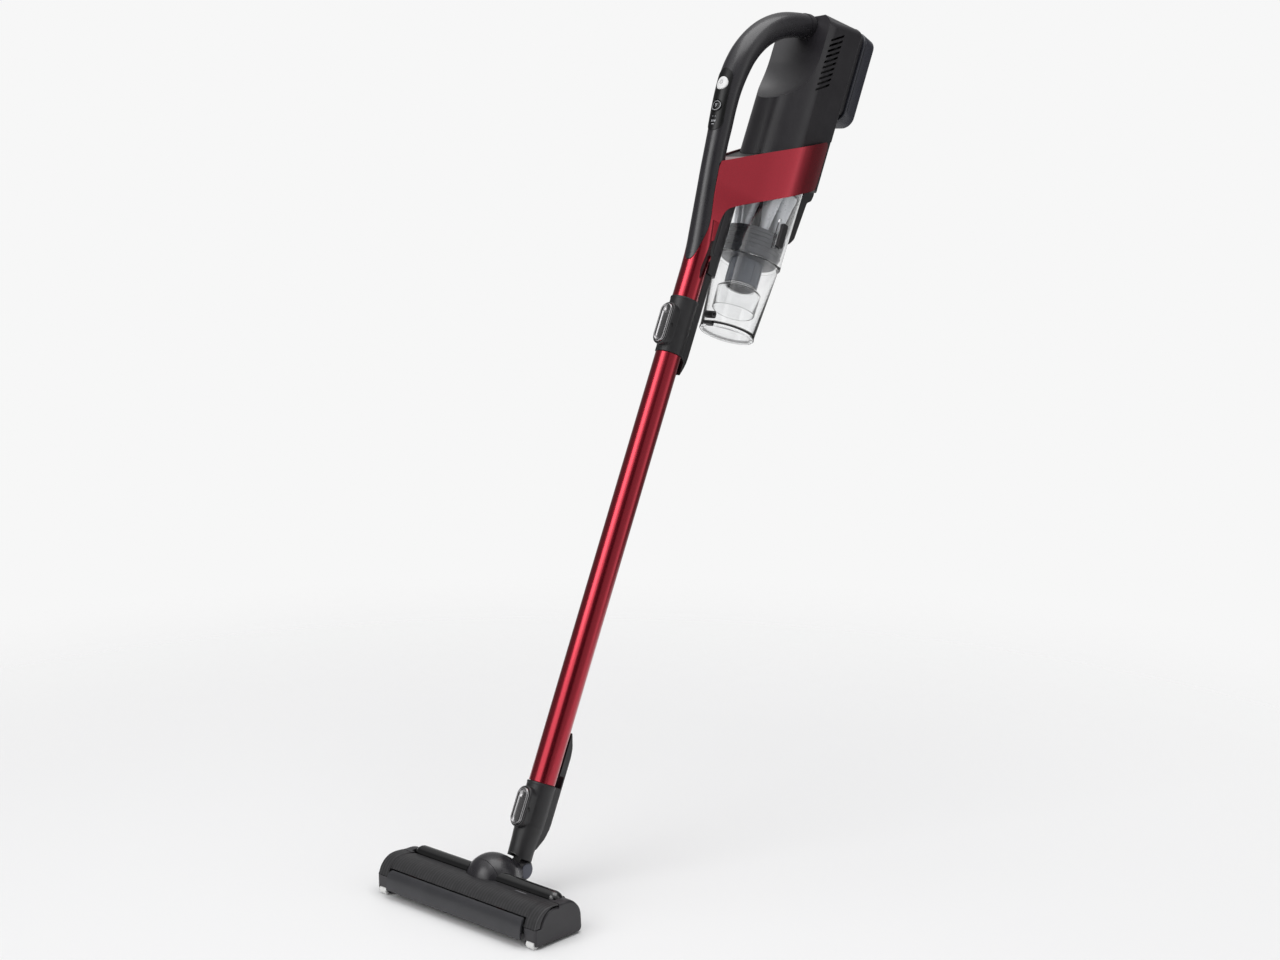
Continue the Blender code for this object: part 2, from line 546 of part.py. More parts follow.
# ============================================================ NECK
neck_body = coupler("neck", 40, NECK_TOP, *LO_POD,
                    [(9, 40), (9, 87.8), (20.4, 87.8), (21.2, 75), (23.6, 74), (22.8, 60), (20.2, 47),
                     (15.8, 35), (9.5, 25), (2, 17)], 11.0)
hb = Vector((0, 0, HINGE_Z)) - foot
hinge_b, hinge_t = hb.dot(back_dir), hb.dot(stick_dir)
tail = loft("tail", [[(sx * c, b0 + sb * s, t) for c, s in circle(28)] for t, b0, sx, sb in
                     ((46, 0, 14.4, 14.4), (34, -0.6, 13.2, 13.6), (22, -0.8, 12.7, 13.0),
                      (8, -0.4, 12.4, 12.8))])
cut(tail, prism_x("c", [(-40, 17), (-6, 16), (8, 11), (40, 9), (40, -20), (-40, -20)], -40, 40))
join(neck_body, tail)
ball_rows = [(sqrt(13.8 ** 2 - x * x), x) for x in (-13.7, -13, -11, -8, -4, 0, 4, 8, 11, 13, 13.7)]
cut(neck_body, lathe_x("c", ball_rows, hinge_b, hinge_t, n=28))
tongue = [(-3, 30), (11, 30), (hinge_b + 9, hinge_t + 2), (hinge_b + 5, hinge_t - 7),
          (hinge_b - 5, hinge_t - 7), (hinge_b - 9, hinge_t + 2)]
join(neck_body, prism_x("tongue", tongue, -5.2, 5.2))
join(neck_body, lathe_t("spigot", [(11.9, 80), (11.9, 120), (9.5, 120), (9.5, 80)], 0, n=28, tube=True))
join(neck_body, lathe_x("brl", [(10.6, -5.2), (10.6, 5.2)], hinge_b, hinge_t, n=28))
cut(neck_body, lathe_x("c", [(3.05, -20), (3.05, 20)], hinge_b, hinge_t, n=20))
rocker("lower_release", *LO_POD)


# ============================================================ HEAD
def swell(grow):
    """Turned outline of the elbow about the roll axis: radius, y."""
    rows = [(sqrt((DOME_R + grow) ** 2 - (y - DOME_Y) ** 2), y) for y in (-49.7, -46, -42, -38, -34, -30,
                                                                          -26)]
    return rows + [(18.6 + grow, -21), (14.4 + grow, -17), (12.0 + grow, -12.5)]


elbow = lathe_y("elbow", swell(0) + [(9.7, -7)], 0, HINGE_Z, "charcoal", head, n=36)
ball = [(sqrt(12.8 ** 2 - x * x), x) for x in (-9.8, -8, -5, -2, 2, 5, 8, 9.8)]
join(elbow, lathe_x("ball", ball, 0, HINGE_Z, n=32))
cut(elbow, box("c", (-60, -70, -20), (60, -12.8, HINGE_Z - 12)))
slot = [(11.2 * cos(radians(a)), HINGE_Z + 11.2 * sin(radians(a))) for a in range(180, 301, 10)]
cut(elbow, prism_x("c", slot + [(40, HINGE_Z - 9.7), (40, HINGE_Z + 40), (-11.2, HINGE_Z + 40)], -5.6, 5.6))
cut(elbow, lathe_x("c", [(2.95, -30), (2.95, 30)], 0, HINGE_Z, n=20))
# air way from the head
cut(elbow, lathe_y("c", [(9, -60), (9, -15)], 0, HINGE_Z + 2, n=20))
lathe_x("neck_hinge_pin", [(2.9, -9.7), (2.9, 9.7)], 0, HINGE_Z, "steel", head, n=20)
for side, s in (("right", 1), ("left", -1)):
    lathe_x("hinge_cap_" + side, [(7.7, s * 9.9), (6.9, s * 10.6), (4.0, s * 11.1)], 0, HINGE_Z, "slate",
            head, n=28)

COVER = [(-85.6, 28.2), (-82.5, 32.4), (-77.5, 35.8), (-71.5, 37.5), (-65, 37.6), (-59, 36.6), (-53.6, 35.4)]
COVER_IN = [(-53.6, 33.4), (-59, 34.6), (-65, 35.6), (-71.5, 35.5), (-77, 33.9), (-81, 31.0), (-84, 27.4)]


def clearance(grow, low=5.2):
    """Space that the rolling elbow needs."""
    room = lathe_y("c", [(23.6 + grow, -50.0)] + [(r, y) for r, y in swell(grow)[1:]] + [(13 + grow, 10)],
                   0, HINGE_Z, n=36)
    return common(room, box("k", (-60, -90, low), (60, 40, 90)))


def dome_cut(grow):
    rows = [(sqrt(max((DOME_R + grow) ** 2 - (y - DOME_Y) ** 2, 0.3)),
             y) for y in (DOME_Y - DOME_R - grow + 0.01, -63.5, -61, -57, -53, -49)]
    return lathe_y("c", rows, 0, HINGE_Z, n=36)


cover = prism_x("top_cover", COVER + COVER_IN, -95.4, 95.4, "charcoal", head)
cut(cover, dome_cut(0.4))
BAR = [(-53.2, 32.2), (-53.2, 35.0), (-51.6, 38.6), (-48.8, 40.8), (-45.0, 41.6), (-41.0, 40.6),
       (-37.6, 37.6), (-36.4, 34.0), (-36.4, 32.2)]
for side, s in (("right", 1), ("left", -1)):
    half = prism_x("back_bar_" + side, BAR, s * 8, s * 100, "gloss_black", head)
    cut(half, clearance(0.5), dome_cut(0.4))
dome_rows = [(sqrt(DOME_R ** 2 - (y - DOME_Y) ** 2), y) for y in (-64.0, -62.5, -60, -57, -53.5, -50.1)]
inner_rows = [(sqrt(24.8 ** 2 - (y - DOME_Y) ** 2), y) for y in (-50.1, -53.5, -57, -60, -62.0)]
dome_cap = lathe_y("dome_cap", dome_rows + inner_rows, 0, HINGE_Z, "charcoal", head, n=36)
cut(dome_cap, box("c", (-60, -90, -20), (60, -40, 33.0)))

CHASSIS = [(-52.6, 5.0), (-52.6, 31.8), (-36.0, 31.8), (-36.0, 34.2), (-35.2, 34.2), (-30.0, 28.0),
           (-28, 21), (-28, 5.0)]
chassis = prism_x("chassis", CHASSIS, -95.4, 95.4, "charcoal", head)
cut(chassis, clearance(0.5))
cut(chassis, box("c", (33, -50.4, 7.2), (110, -30.5, 26)))
cut(chassis, box("c", (-110, -50.4, 7.2), (-33, -30.5, 24)))
cut(chassis, box("c", (83.5, -60, 8), (110, -50, 27)))
wheel_x, wheel_y, wheel_z = REAR_WHEEL
for x in (-wheel_x, wheel_x):
    # raised pocket, bearing blocks, room for the roller, and its pin
    join(chassis, box("k", (x - 9, -40.0, 4.9), (x + 9, -28.4, 9.7)))
    join(chassis, box("k", (x - 7.2, wheel_y - 2, 2.7), (x + 7.2, wheel_y + 2, 6)))
    cut(chassis, box("c", (x - 6.2, -38.6, -5), (x + 6.2, -29.4, 8.3)))
    join(chassis, lathe_x("k", [(1.2, x - 7), (1.2, x + 7)], wheel_y, wheel_z, n=12))
sole = box("sole_plate", (-95.4, -55.6, 2.6), (95.4, -28, 4.8), "black", head)
for x in (-wheel_x, wheel_x):
    cut(sole, box("c", (x - 7.6, -38.8, -5), (x + 7.6, -29.2, 8)))
cut(sole, box("c", (-14, -60, 0), (14, -50, 10)))

END = [(-84, 2.4), (-88.6, 2.6), (-90.0, 6.0), (-90.2, 20.0), (-86.6, 28.4), (-81.5, 33.8), (-75.5, 37.0),
       (-68, 38.0), (-60, 37.4),
       (-53, 36.8), (-47, 37.0), (-41, 36.2), (-35, 32.5), (-29.6, 26.5), (-27.4, 20), (-26.6, 4), (-29, 1.2)]
for side, s in (("right", 1), ("left", -1)):
    inset = [(-59 + (y + 59) * 0.965, 20 + (z - 20) * 0.95) for y, z in END]
    end = loft("end_cap_" + side, [[(s * x, y, z) for y, z in o] for x,
                                   o in ((95.8, END), (108.6, END), (HEAD_HALF, inset))], "charcoal", head)
    grown = [(-53.6, 31.8), (-53.6, 60), (-36.0, 60), (-36.0, 31.8)]
    cut(end, prism_x("c", grown, s * 90, s * 100.4))
    cut(end, lathe_x("c", [(4.8, s * 97.6), (4.8, s * 109.0)], WHEEL_Y, WHEEL_Z, n=20))
    cut(end, box("c", (s * 103.3 - 5.7, -100, -10), (s * 103.3 + 5.7, -86.6, 8)))
    join(end, lathe_x("pin", [(1.2, s * 95.9), (1.2, s * 110.2)], WHEEL_Y, WHEEL_Z, n=12))
    cut(end, lathe_x("c", [(2.3, s * 90), (2.3, s * 101)], ROLLER_Y, ROLLER_Z, n=16))
    tyre = [(1.5, s * 98.4), (3.8, s * 98.4), (4.3, s * 99.4), (4.3, s * 107.2), (3.8, s * 108.2),
            (1.5, s * 108.2)]
    lathe_x("front_roller_" + side, tyre, WHEEL_Y, WHEEL_Z, "white", head, n=20, tube=True)
    x = s * wheel_x
    wheel = [(1.5, x - 5.6), (3.8, x - 5.6), (3.8, x + 5.6), (1.5, x + 5.6)]
    lathe_x("rear_roller_" + side, wheel, wheel_y, wheel_z, "rubber", head, n=20, tube=True)

FLAP = [(-94, 8.2), (-93.4, 17), (-91.2, 23.6), (-87.6, 27.7), (-86.0, 27.0), (-88.4, 23.5), (-91.2, 17),
        (-92.2, 8.2)]
prism_x("front_flap", FLAP, -93.8, 93.8, "charcoal", head)

# brush roller with twisted bristle strips, and its drive
core_rows = [(2.0, -99.0), (2.0, -94.4), (7.4, -94.4), (7.4, 82.0), (3, 82.0), (3, 84.0)]
lathe_x("brush_core", core_rows, ROLLER_Y, ROLLER_Z, "grey", head, n=20)
lathe_x("brush_pulley", [(8.0, 84.1), (8.0, 91.5), (4, 92.2), (2.0, 92.2), (2.0, 99.0)], ROLLER_Y, ROLLER_Z,
        "black", head, n=20)
outer_rings, inner_rings = [], []
for i in range(13):
    x = -93.6 + 174.8 * i / 12
    twist = radians(120) * abs(i - 6) / 6
    outer_rings.append([(x, ROLLER_Y + r * c, ROLLER_Z + r * s) for (c, s),
                        r in zip(circle(24, twist), [14.2, 14.2, 9.2, 9.2] * 6)])
    inner_rings.append([(x, ROLLER_Y + 8.1 * c, ROLLER_Z + 8.1 * s) for c, s in circle(24, twist)])
loft("brush_bristles", outer_rings + inner_rings[::-1], "bristle", head, closed=True)
lathe_x("brush_motor", [(7.2, 36), (7.2, 78), (2.2, 78), (2.2, 80)], MOTOR_Y, MOTOR_Z, "steel", head, n=20)
lathe_x("brush_pinion", [(1.2, 80.3), (4.4, 81.5), (4.4, 91.5), (1.2, 92.0)], MOTOR_Y, MOTOR_Z, "black",
        head, n=16)


def belt_outline(grow):
    """Loop round the pinion and the pulley."""
    ra, rb = 4.4 + grow, 8.0 + grow
    dy, dz = ROLLER_Y - MOTOR_Y, ROLLER_Z - MOTOR_Z
    axis, dist = atan2(dz, dy), sqrt(dy * dy + dz * dz)
    lean_in = atan2(rb - ra, dist)
    pts = []
    for k in range(9):
        a = axis + pi / 2 + lean_in + (pi - 2 * lean_in) * k / 8
        pts.append((MOTOR_Y + ra * cos(a), MOTOR_Z + ra * sin(a)))
    for k in range(13):
        a = axis - pi / 2 - lean_in + (pi + 2 * lean_in) * k / 12
        pts.append((ROLLER_Y + rb * cos(a), ROLLER_Z + rb * sin(a)))
    return pts


belt = prism_x("drive_belt", belt_outline(1.5), 85, 90.5, "rubber", head)
cut(belt, prism_x("c", belt_outline(0.3), 80, 95))

# ------------------------------------------------------- moving pieces turn about their own axes
def pivot(name, at, parent):
    """Move an object's origin to a point of its parent's frame."""
    obj = bpy.data.objects[name]
    shift = Vector(at) * MM
    obj.data.transform(Matrix.Translation(-shift))
    obj.matrix_local = Matrix.Translation(shift) @ obj.matrix_local
    return obj


pivot("upper_release", (0, UP_POD[1] + PIN_BEHIND, UP_POD[0]), stick)
pivot("lower_release", (0, LO_POD[1] + PIN_BEHIND, LO_POD[0]), stick)
pivot("cup_clip", (0, *CLIP_PIVOT), stick)
pivot("cup_lid", (0, *LID_PIVOT), stick)
pivot("motor_fan", (0, MOTOR_B, 860), stick)
pivot("elbow", (0, 0, HINGE_Z), head)
pivot("front_flap", (0, *FLAP_PIVOT), head)
for name in ("brush_core", "brush_pulley", "brush_bristles"):
    pivot(name, (0, ROLLER_Y, ROLLER_Z), head)
pivot("brush_pinion", (0, MOTOR_Y, MOTOR_Z), head)
for name in ("front_roller_left", "front_roller_right"):
    pivot(name, (0, WHEEL_Y, WHEEL_Z), head)
for name in ("rear_roller_left", "rear_roller_right"):
    pivot(name, (0, *REAR_WHEEL[1:]), head)
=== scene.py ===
"""Looks of the cordless stick vacuum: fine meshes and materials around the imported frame.

Shapes are written in millimetres in two working frames, as in the CAD source:
  STICK  (x, b, t): x across, b behind the pipe axis, t up along the pipe
  HEAD   (x, y, z): z up from the floor, y = 0 at the neck hinge
"""
import bpy, bmesh
from math import sin, cos, pi, radians, sqrt
from mathutils import Vector, Matrix


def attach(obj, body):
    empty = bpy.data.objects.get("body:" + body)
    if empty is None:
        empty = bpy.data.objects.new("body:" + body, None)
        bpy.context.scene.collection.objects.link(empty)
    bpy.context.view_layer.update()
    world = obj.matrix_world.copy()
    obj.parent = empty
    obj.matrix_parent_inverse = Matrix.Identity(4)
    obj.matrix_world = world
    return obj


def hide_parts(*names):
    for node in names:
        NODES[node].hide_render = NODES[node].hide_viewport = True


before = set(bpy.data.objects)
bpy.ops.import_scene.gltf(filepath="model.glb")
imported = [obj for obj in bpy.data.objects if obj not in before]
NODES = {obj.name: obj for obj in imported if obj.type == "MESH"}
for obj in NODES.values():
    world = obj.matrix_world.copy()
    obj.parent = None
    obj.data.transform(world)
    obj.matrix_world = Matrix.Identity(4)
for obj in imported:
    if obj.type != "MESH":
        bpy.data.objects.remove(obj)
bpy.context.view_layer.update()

# ---------------------------------------------------------------- driving dimensions
MM = 0.001
LEAN = radians(24.8)
PIPE_R, PIPE_AHEAD = 13.7, 5.2
HINGE_Z = 27.5
GRIP_T, GRIP_B = 893.0, -11.0
HANDLE = [(0, 641, 13.7), (-1.2, 663, 13.7), (-4.7, 684, 13.5), (-9, 705, 12.9), (-13.1, 726, 12.4),
          (-17.1, 747, 12.1), (-20.8, 772, 12.0), (-23, 792, 12.5), (-25.5, 812, 12.9), (-26.8, 832, 13.5),
          (-25.6, 854, 14.4), (-20, 877, 14.6), (-8.8, 899.3, 14.6), (6.4, 918, 14.5), (25.7, 933.5, 14.2),
          (48, 945.5, 13.6), (68, 953.5, 13.5)]
SEAM = [(-13.6, 648), (-12.3, 656), (-11.2, 669), (-10.2, 690), (-15.8, 719), (-21, 752.5)]
ARM = [(607, 13.7, 0), (632, 13.7, 0), (650, 8, 12), (672, 2.2, 14.4), (694, 1.2, 15.6), (704, 1.4, 17.4),
       (716, 4, 19.4), (760, 6, 22)]
BAND = [(-21, 11.8), (0, 18.5), (20, 25), (40, 31.5), (60, 37.2), (72, 39.6), (85, 40.2), (98, 39.2),
        (106, 38.0), (114, 36.0)]
BAND_T = 2.2
CUP_B, CUP_TOP = 80.0, 774.0
HOUSE_B, HOUSE_R, HOUSE_BACK, HOUSE_BACK_W = 72.5, 36.5, 125.5, 32.0
BATT_LO, BATT_HI, BATT_HALF, BATT_B0, BATT_B1 = 874.0, 982.0, 26.0, 129.5, 157.5
COUPLER_LO, COUPLER_HI, NECK_TOP = 546.0, 606.7, 88.0
UP_POD, LO_POD = (573.5, -21.4, 23.0), (61.0, -21.0, 20.8)
DOME_Y, DOME_R = -38.0, 26.5
ROLLER_Y, ROLLER_Z = -70.5, 17.5
FOOT_Z = 26.0            # height that the stick frame's zero is measured from
SIDES = ((-1, "left"), (1, "right"))
CUT = 60.0               # half length of a cut that goes right across
ON_PIPE = (0, 0)

stick_dir = Vector((0, sin(LEAN), cos(LEAN)))
back_dir = Vector((0, cos(LEAN), -sin(LEAN)))
foot = Vector((0, 0, FOOT_Z)) - PIPE_AHEAD * back_dir
grip = foot + GRIP_B * back_dir + GRIP_T * stick_dir
HEAD = Matrix.Scale(MM, 4) @ Matrix.Translation(-grip)
STICK = HEAD @ Matrix.Translation(foot) @ Matrix.Rotation(-LEAN, 4, "X")


# ---------------------------------------------------------------- shape tools
def arc(n, start=0.0, sweep=2 * pi):
    """Unit circle points; a full turn leaves the last point out."""
    steps = n if sweep >= 2 * pi else n - 1
    return [(cos(start + sweep * k / steps), sin(start + sweep * k / steps)) for k in range(n)]


def flow(rows, steps):
    """Smooth curve through rows of numbers (Catmull-Rom)."""
    out = []
    last = len(rows) - 1
    for i in range(last):
        four = (rows[max(i - 1, 0)], rows[i], rows[i + 1], rows[min(i + 2, last)])
        for k in range(steps):
            f = k / steps
            out.append(tuple(0.5 * (2 * b + (c - a) * f + (2 * a - 5 * b + 4 * c - d) * f * f
                                    + (3 * b - a - 3 * c + d) * f ** 3) for a, b, c, d in zip(*four)))
    out.append(tuple(rows[-1]))
    return out


def table(rows, key, column, at):
    """Straight-line lookup in a table sorted by one column."""
    rows = sorted(rows, key=lambda r: r[key])
    if at <= rows[0][key]:
        return rows[0][column]
    for a, b in zip(rows, rows[1:]):
        if at <= b[key]:
            return a[column] + (at - a[key]) / (b[key] - a[key]) * (b[column] - a[column])
    return rows[-1][column]


def fillet(points, r, n=4, closed=True):
    """Outline with its corners rounded."""
    out = []
    m = len(points)
    for i, p in enumerate(points):
        if not closed and i in (0, m - 1):
            out.append(tuple(p))
            continue
        b = Vector(p)
        u, v = Vector(points[i - 1]) - b, Vector(points[(i + 1) % m]) - b
        d = min(r, 0.45 * u.length, 0.45 * v.length)
        s, e = b + d * u.normalized(), b + d * v.normalized()
        for k in range(n + 1):
            f = k / n
            out.append(tuple((1 - f) ** 2 * s + 2 * f * (1 - f) * b + f * f * e))
    return out


def inset(outline, d):
    """Closed outline moved inwards by d."""
    if abs(d) < 1e-9:
        return list(outline)
    m = len(outline)
    turn = sum(outline[i - 1][0] * outline[i][1] - outline[i][0] * outline[i - 1][1] for i in range(m))
    sign = 1 if turn > 0 else -1
    out = []
    for i, p in enumerate(outline):
        a, c = outline[i - 1], outline[(i + 1) % m]
        e = Vector((c[0] - a[0], c[1] - a[1]))
        e = e.normalized() if e.length > 1e-9 else Vector((1, 0))
        out.append((p[0] - sign * e.y * d, p[1] + sign * e.x * d))
    return out


def stadium(cx, cy, half_w, half_h, n=16):
    """Round-ended outline, taller than wide."""
    top = [(cx + half_w * c, cy + half_h - half_w + half_w * s) for c, s in arc(n, 0, pi)]
    low = [(cx + half_w * c, cy - half_h + half_w + half_w * s) for c, s in arc(n, pi, pi)]
    return top + low


def rounded(x0, y0, x1, y1, r, n=8):
    """Rectangle outline with round corners."""
    out = []
    centres = ((x1 - r, y1 - r), (x0 + r, y1 - r), (x0 + r, y0 + r), (x1 - r, y0 + r))
    for quarter, (cx, cy) in enumerate(centres):
        out += [(cx + r * c, cy + r * s) for c, s in arc(n, radians(90 * quarter), pi / 2)]
    return out


def finish_mesh(bm):
    """Object of a finished bmesh, its faces turned outwards."""
    bmesh.ops.recalc_face_normals(bm, faces=bm.faces)
    if bm.calc_volume(signed=True) < 0:
        bmesh.ops.reverse_faces(bm, faces=bm.faces)
    mesh = bpy.data.meshes.new("shape")
    bm.to_mesh(mesh)
    bm.free()
    obj = bpy.data.objects.new("shape", mesh)
    bpy.context.scene.collection.objects.link(obj)
    return obj


def skin(rings, space=STICK, closed=False):
    """Surface through rings of equal length; closed joins the last ring to the first."""
    bm = bmesh.new()
    rows = [[bm.verts.new(space @ Vector(p)) for p in ring] for ring in rings]
    m = len(rows[0])
    pairs = list(zip(rows, rows[1:])) + ([(rows[-1], rows[0])] if closed else [])
    for a, b in pairs:
        for k in range(m):
            bm.faces.new((a[k], a[(k + 1) % m], b[(k + 1) % m], b[k]))
    if not closed:
        bm.faces.new(rows[0])
        bm.faces.new(rows[-1])
    return finish_mesh(bm)


TO_POINT = {"x": lambda p, q, h: (h, p, q), "b": lambda p, q, h: (p, h, q), "t": lambda p, q, h: (p, q, h)}


def slab(outline, lo, hi, axis, rim=0.0, space=STICK):
    """Outline carried from lo to hi along an axis, with round rims at both ends."""
    to = TO_POINT[axis]
    if rim <= 0:
        return skin([[to(p, q, h) for p, q in outline] for h in (lo, hi)], space)
    turns = [(rim * (1 - cos(pi / 8 * k)), rim * (1 - sin(pi / 8 * k))) for k in range(5)]
    levels = [(lo + up, back) for up, back in turns] + [(hi - up, back) for up, back in reversed(turns)]
    return skin([[to(p, q, h) for p, q in inset(outline, back)] for h, back in levels], space)


def turned(profile, axis, at, space=STICK, n=72, tube=False, r=0.0):
    """Turned body: profile rows are (radius, place along the axis), corners rounded by r."""
    if r > 0:
        profile = fillet(profile, r, closed=tube)
    u, v = at
    rings = []
    for radius, h in profile:
        if axis == "x":
            rings.append([(h, u + radius * c, v + radius * s) for c, s in arc(n)])
        elif axis == "b":
            rings.append([(u + radius * c, h, v + radius * s) for c, s in arc(n)])
        else:
            rings.append([(u + radius * c, v + radius * s, h) for c, s in arc(n)])
    return skin(rings, space, closed=tube)


def solid_box(lo, hi, space=STICK):
    """Box between two corners."""
    outline = [(lo[0], lo[1]), (hi[0], lo[1]), (hi[0], hi[1]), (lo[0], hi[1])]
    return slab(outline, lo[2], hi[2], "t", 0, space)


def across(outline):
    """Cutting slab that goes right across the machine."""
    return slab(outline, -CUT, CUT, "x")


def span(side, near, far):
    """Places across from near to far on one side, the lower one first."""
    return sorted((side * near, side * far))


def apply_modifiers(obj):
    graph = bpy.context.evaluated_depsgraph_get()
    graph.update()
    mesh = bpy.data.meshes.new_from_object(obj.evaluated_get(graph))
    obj.modifiers.clear()
    obj.data = mesh
    return obj


def carve(obj, *tools, operation="DIFFERENCE"):
    """Exact Booleans, applied; the tools are dropped."""
    for tool in tools:
        mod = obj.modifiers.new("carve", "BOOLEAN")
        mod.operation, mod.solver, mod.object = operation, "EXACT", tool
    apply_modifiers(obj)
    for tool in tools:
        bpy.data.objects.remove(tool, do_unlink=True)
    bm = bmesh.new()
    bm.from_mesh(obj.data)
    bmesh.ops.remove_doubles(bm, verts=bm.verts, dist=3e-6)
    bmesh.ops.dissolve_degenerate(bm, edges=bm.edges, dist=3e-6)
    bm.to_mesh(obj.data)
    bm.free()
    return obj


def weld(obj, *tools):
    return carve(obj, *tools, operation="UNION")


def keep(obj, *tools):
    return carve(obj, *tools, operation="INTERSECT")


def soften(obj, width, angle):
    """Rounds the edges sharper than angle."""
    mod = obj.modifiers.new("edges", "BEVEL")
    mod.width, mod.segments, mod.limit_method = width * MM, 3, "ANGLE"
    mod.angle_limit, mod.miter_outer = radians(angle), "MITER_ARC"
    return apply_modifiers(obj)


def melt(obj, voxel):
    """Remeshes a joined shape and smooths it, so that its inner corners flow like a moulding."""
    mod = obj.modifiers.new("voxels", "REMESH")
    mod.mode, mod.voxel_size, mod.use_smooth_shade = "VOXEL", voxel * MM, True
    even = obj.modifiers.new("even", "SMOOTH")
    even.iterations, even.factor = 2, 0.5
    return apply_modifiers(obj)


def piece(obj, name, material, body, slot, *nodes, edge=0.0, angle=38):
    """Names a finished shape, gives it its material, ties it to its body and hides the CAD nodes it stands for."""
    if edge:
        soften(obj, edge, angle)
    obj.name = obj.data.name = name
    obj.data.materials.clear()
    obj.data.materials.append(material)
    obj.data.shade_smooth()
    obj.data.set_sharp_from_angle(angle=radians(angle))
    if edge:
        even = obj.modifiers.new("normals", "WEIGHTED_NORMAL")
        even.keep_sharp = True
    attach(obj, body)
    if nodes:
        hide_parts(*nodes)
    return obj


# ---------------------------------------------------------------- materials
class Tree:
    """Short way to add and link nodes."""

    def __init__(self, tree):
        self.tree = tree

    def add(self, kind, **values):
        node = self.tree.nodes.new(kind)
        for key, value in values.items():
            setattr(node, key, value)
        return node

    def link(self, a, b):
        self.tree.links.new(a, b)

    def spread(self, value, low, high, start=0.3, end=0.7, **values):
        """Value carried from start..end to low..high."""
        node = self.add("ShaderNodeMapRange", **values)
        node.inputs["From Min"].default_value = start
        node.inputs["From Max"].default_value = end
        node.inputs["To Min"].default_value = low
        node.inputs["To Max"].default_value = high
        self.link(value, node.inputs["Value"])
        return node.outputs["Result"]

    def switch(self, factor, a, b):
        """Mix of two shaders."""
        node = self.add("ShaderNodeMixShader")
        for source, place in zip((factor, a, b), node.inputs):
            self.link(source, place)
        return node.outputs[0]


class Graph(Tree):
    """Material with its shader and its object coordinates at hand."""

    def __init__(self, name):
        self.mat = bpy.data.materials.new(name)
        self.mat.use_nodes = True
        super().__init__(self.mat.node_tree)
        self.shader = self.tree.nodes["Principled BSDF"]
        self.surface = self.tree.nodes["Material Output"].inputs["Surface"]
        self.where = self.add("ShaderNodeTexCoord").outputs["Object"]

    def noise(self, size_mm, detail, stretch=None):
        """Noise of a given grain size; stretch squeezes its axes."""
        node = self.add("ShaderNodeTexNoise")
        node.inputs["Scale"].default_value = 1000.0 / size_mm
        node.inputs["Detail"].default_value = detail
        source = self.where
        if stretch:
            mapping = self.add("ShaderNodeMapping")
            mapping.inputs["Scale"].default_value = stretch
            self.link(source, mapping.inputs["Vector"])
            source = mapping.outputs["Vector"]
        self.link(source, node.inputs["Vector"])
        return node.outputs["Fac"]

    def blend(self, factor, a, b):
        node = self.add("ShaderNodeMix", data_type="RGBA")
        node.inputs["A"].default_value = (*a, 1)
        node.inputs["B"].default_value = (*b, 1)
        self.link(factor, node.inputs["Factor"])
        return node.outputs["Result"]

    def bump(self, height, depth_mm, strength):
        node = self.add("ShaderNodeBump")
        node.inputs["Distance"].default_value = depth_mm * MM
        node.inputs["Strength"].default_value = strength
        self.link(height, node.inputs["Height"])
        self.link(node.outputs["Normal"], self.shader.inputs["Normal"])


def plastic(name, colour, rough, metallic=0.0, grain=0.35, depth=0.02, tone=0.12, coat=0.0, coat_rough=0.1,
            wander=0.05, specular=0.5):
    """Moulded plastic or metal: fine grain, slow colour drift and uneven polish."""
    g = Graph(name)
    s = g.shader.inputs
    lighter = tuple(min(1, c * (1 + tone) + 0.002) for c in colour)
    darker = tuple(c * (1 - tone) for c in colour)
    g.link(g.blend(g.spread(g.noise(26, 2), 0, 1), darker, lighter), s["Base Color"])
    g.link(g.spread(g.noise(9, 4), rough - wander, rough + wander), s["Roughness"])
    s["Metallic"].default_value = metallic
    s["Coat Weight"].default_value = coat
    s["Coat Roughness"].default_value = coat_rough
    s["Specular IOR Level"].default_value = specular
    if depth:
        g.bump(g.noise(grain, 2), depth, 0.6)
    return g.mat


def candy_red():
    """Metallic red lacquer: fine flake under a clear coat."""
    g = Graph("candy_red")
    s = g.shader.inputs
    flake = g.add("ShaderNodeTexVoronoi")
    flake.inputs["Scale"].default_value = 1000 / 0.28
    g.link(g.where, flake.inputs["Vector"])
    sep = g.add("ShaderNodeSeparateColor")
    g.link(flake.outputs["Color"], sep.inputs["Color"])
    g.link(g.blend(sep.outputs["Red"], (0.34, 0.008, 0.024), (0.46, 0.016, 0.036)), s["Base Color"])
    g.link(g.spread(g.noise(14, 3), 0.21, 0.25), s["Roughness"])
    s["Metallic"].default_value = 0.95
    s["Coat Weight"].default_value = 0.7
    s["Coat Roughness"].default_value = 0.16
    g.bump(sep.outputs["Green"], 0.004, 0.35)
    return g.mat


def clear(name, tint):
    """Clear polycarbonate that lets lamps through."""
    g = Graph(name)
    s = g.shader.inputs
    g.link(g.blend(g.spread(g.noise(30, 2), 0, 1), tint, tuple(c * 0.985 for c in tint)), s["Base Color"])
    g.link(g.spread(g.noise(12, 3), 0.03, 0.06), s["Roughness"])
    s["Transmission Weight"].default_value = 1.0
    s["IOR"].default_value = 1.49
    path = g.add("ShaderNodeLightPath")
    through = g.add("ShaderNodeBsdfTransparent")
    through.inputs["Color"].default_value = (*[c * 0.93 for c in tint], 1)
    g.link(g.switch(path.outputs["Is Shadow Ray"], g.shader.outputs[0], through.outputs[0]), g.surface)
    return g.mat


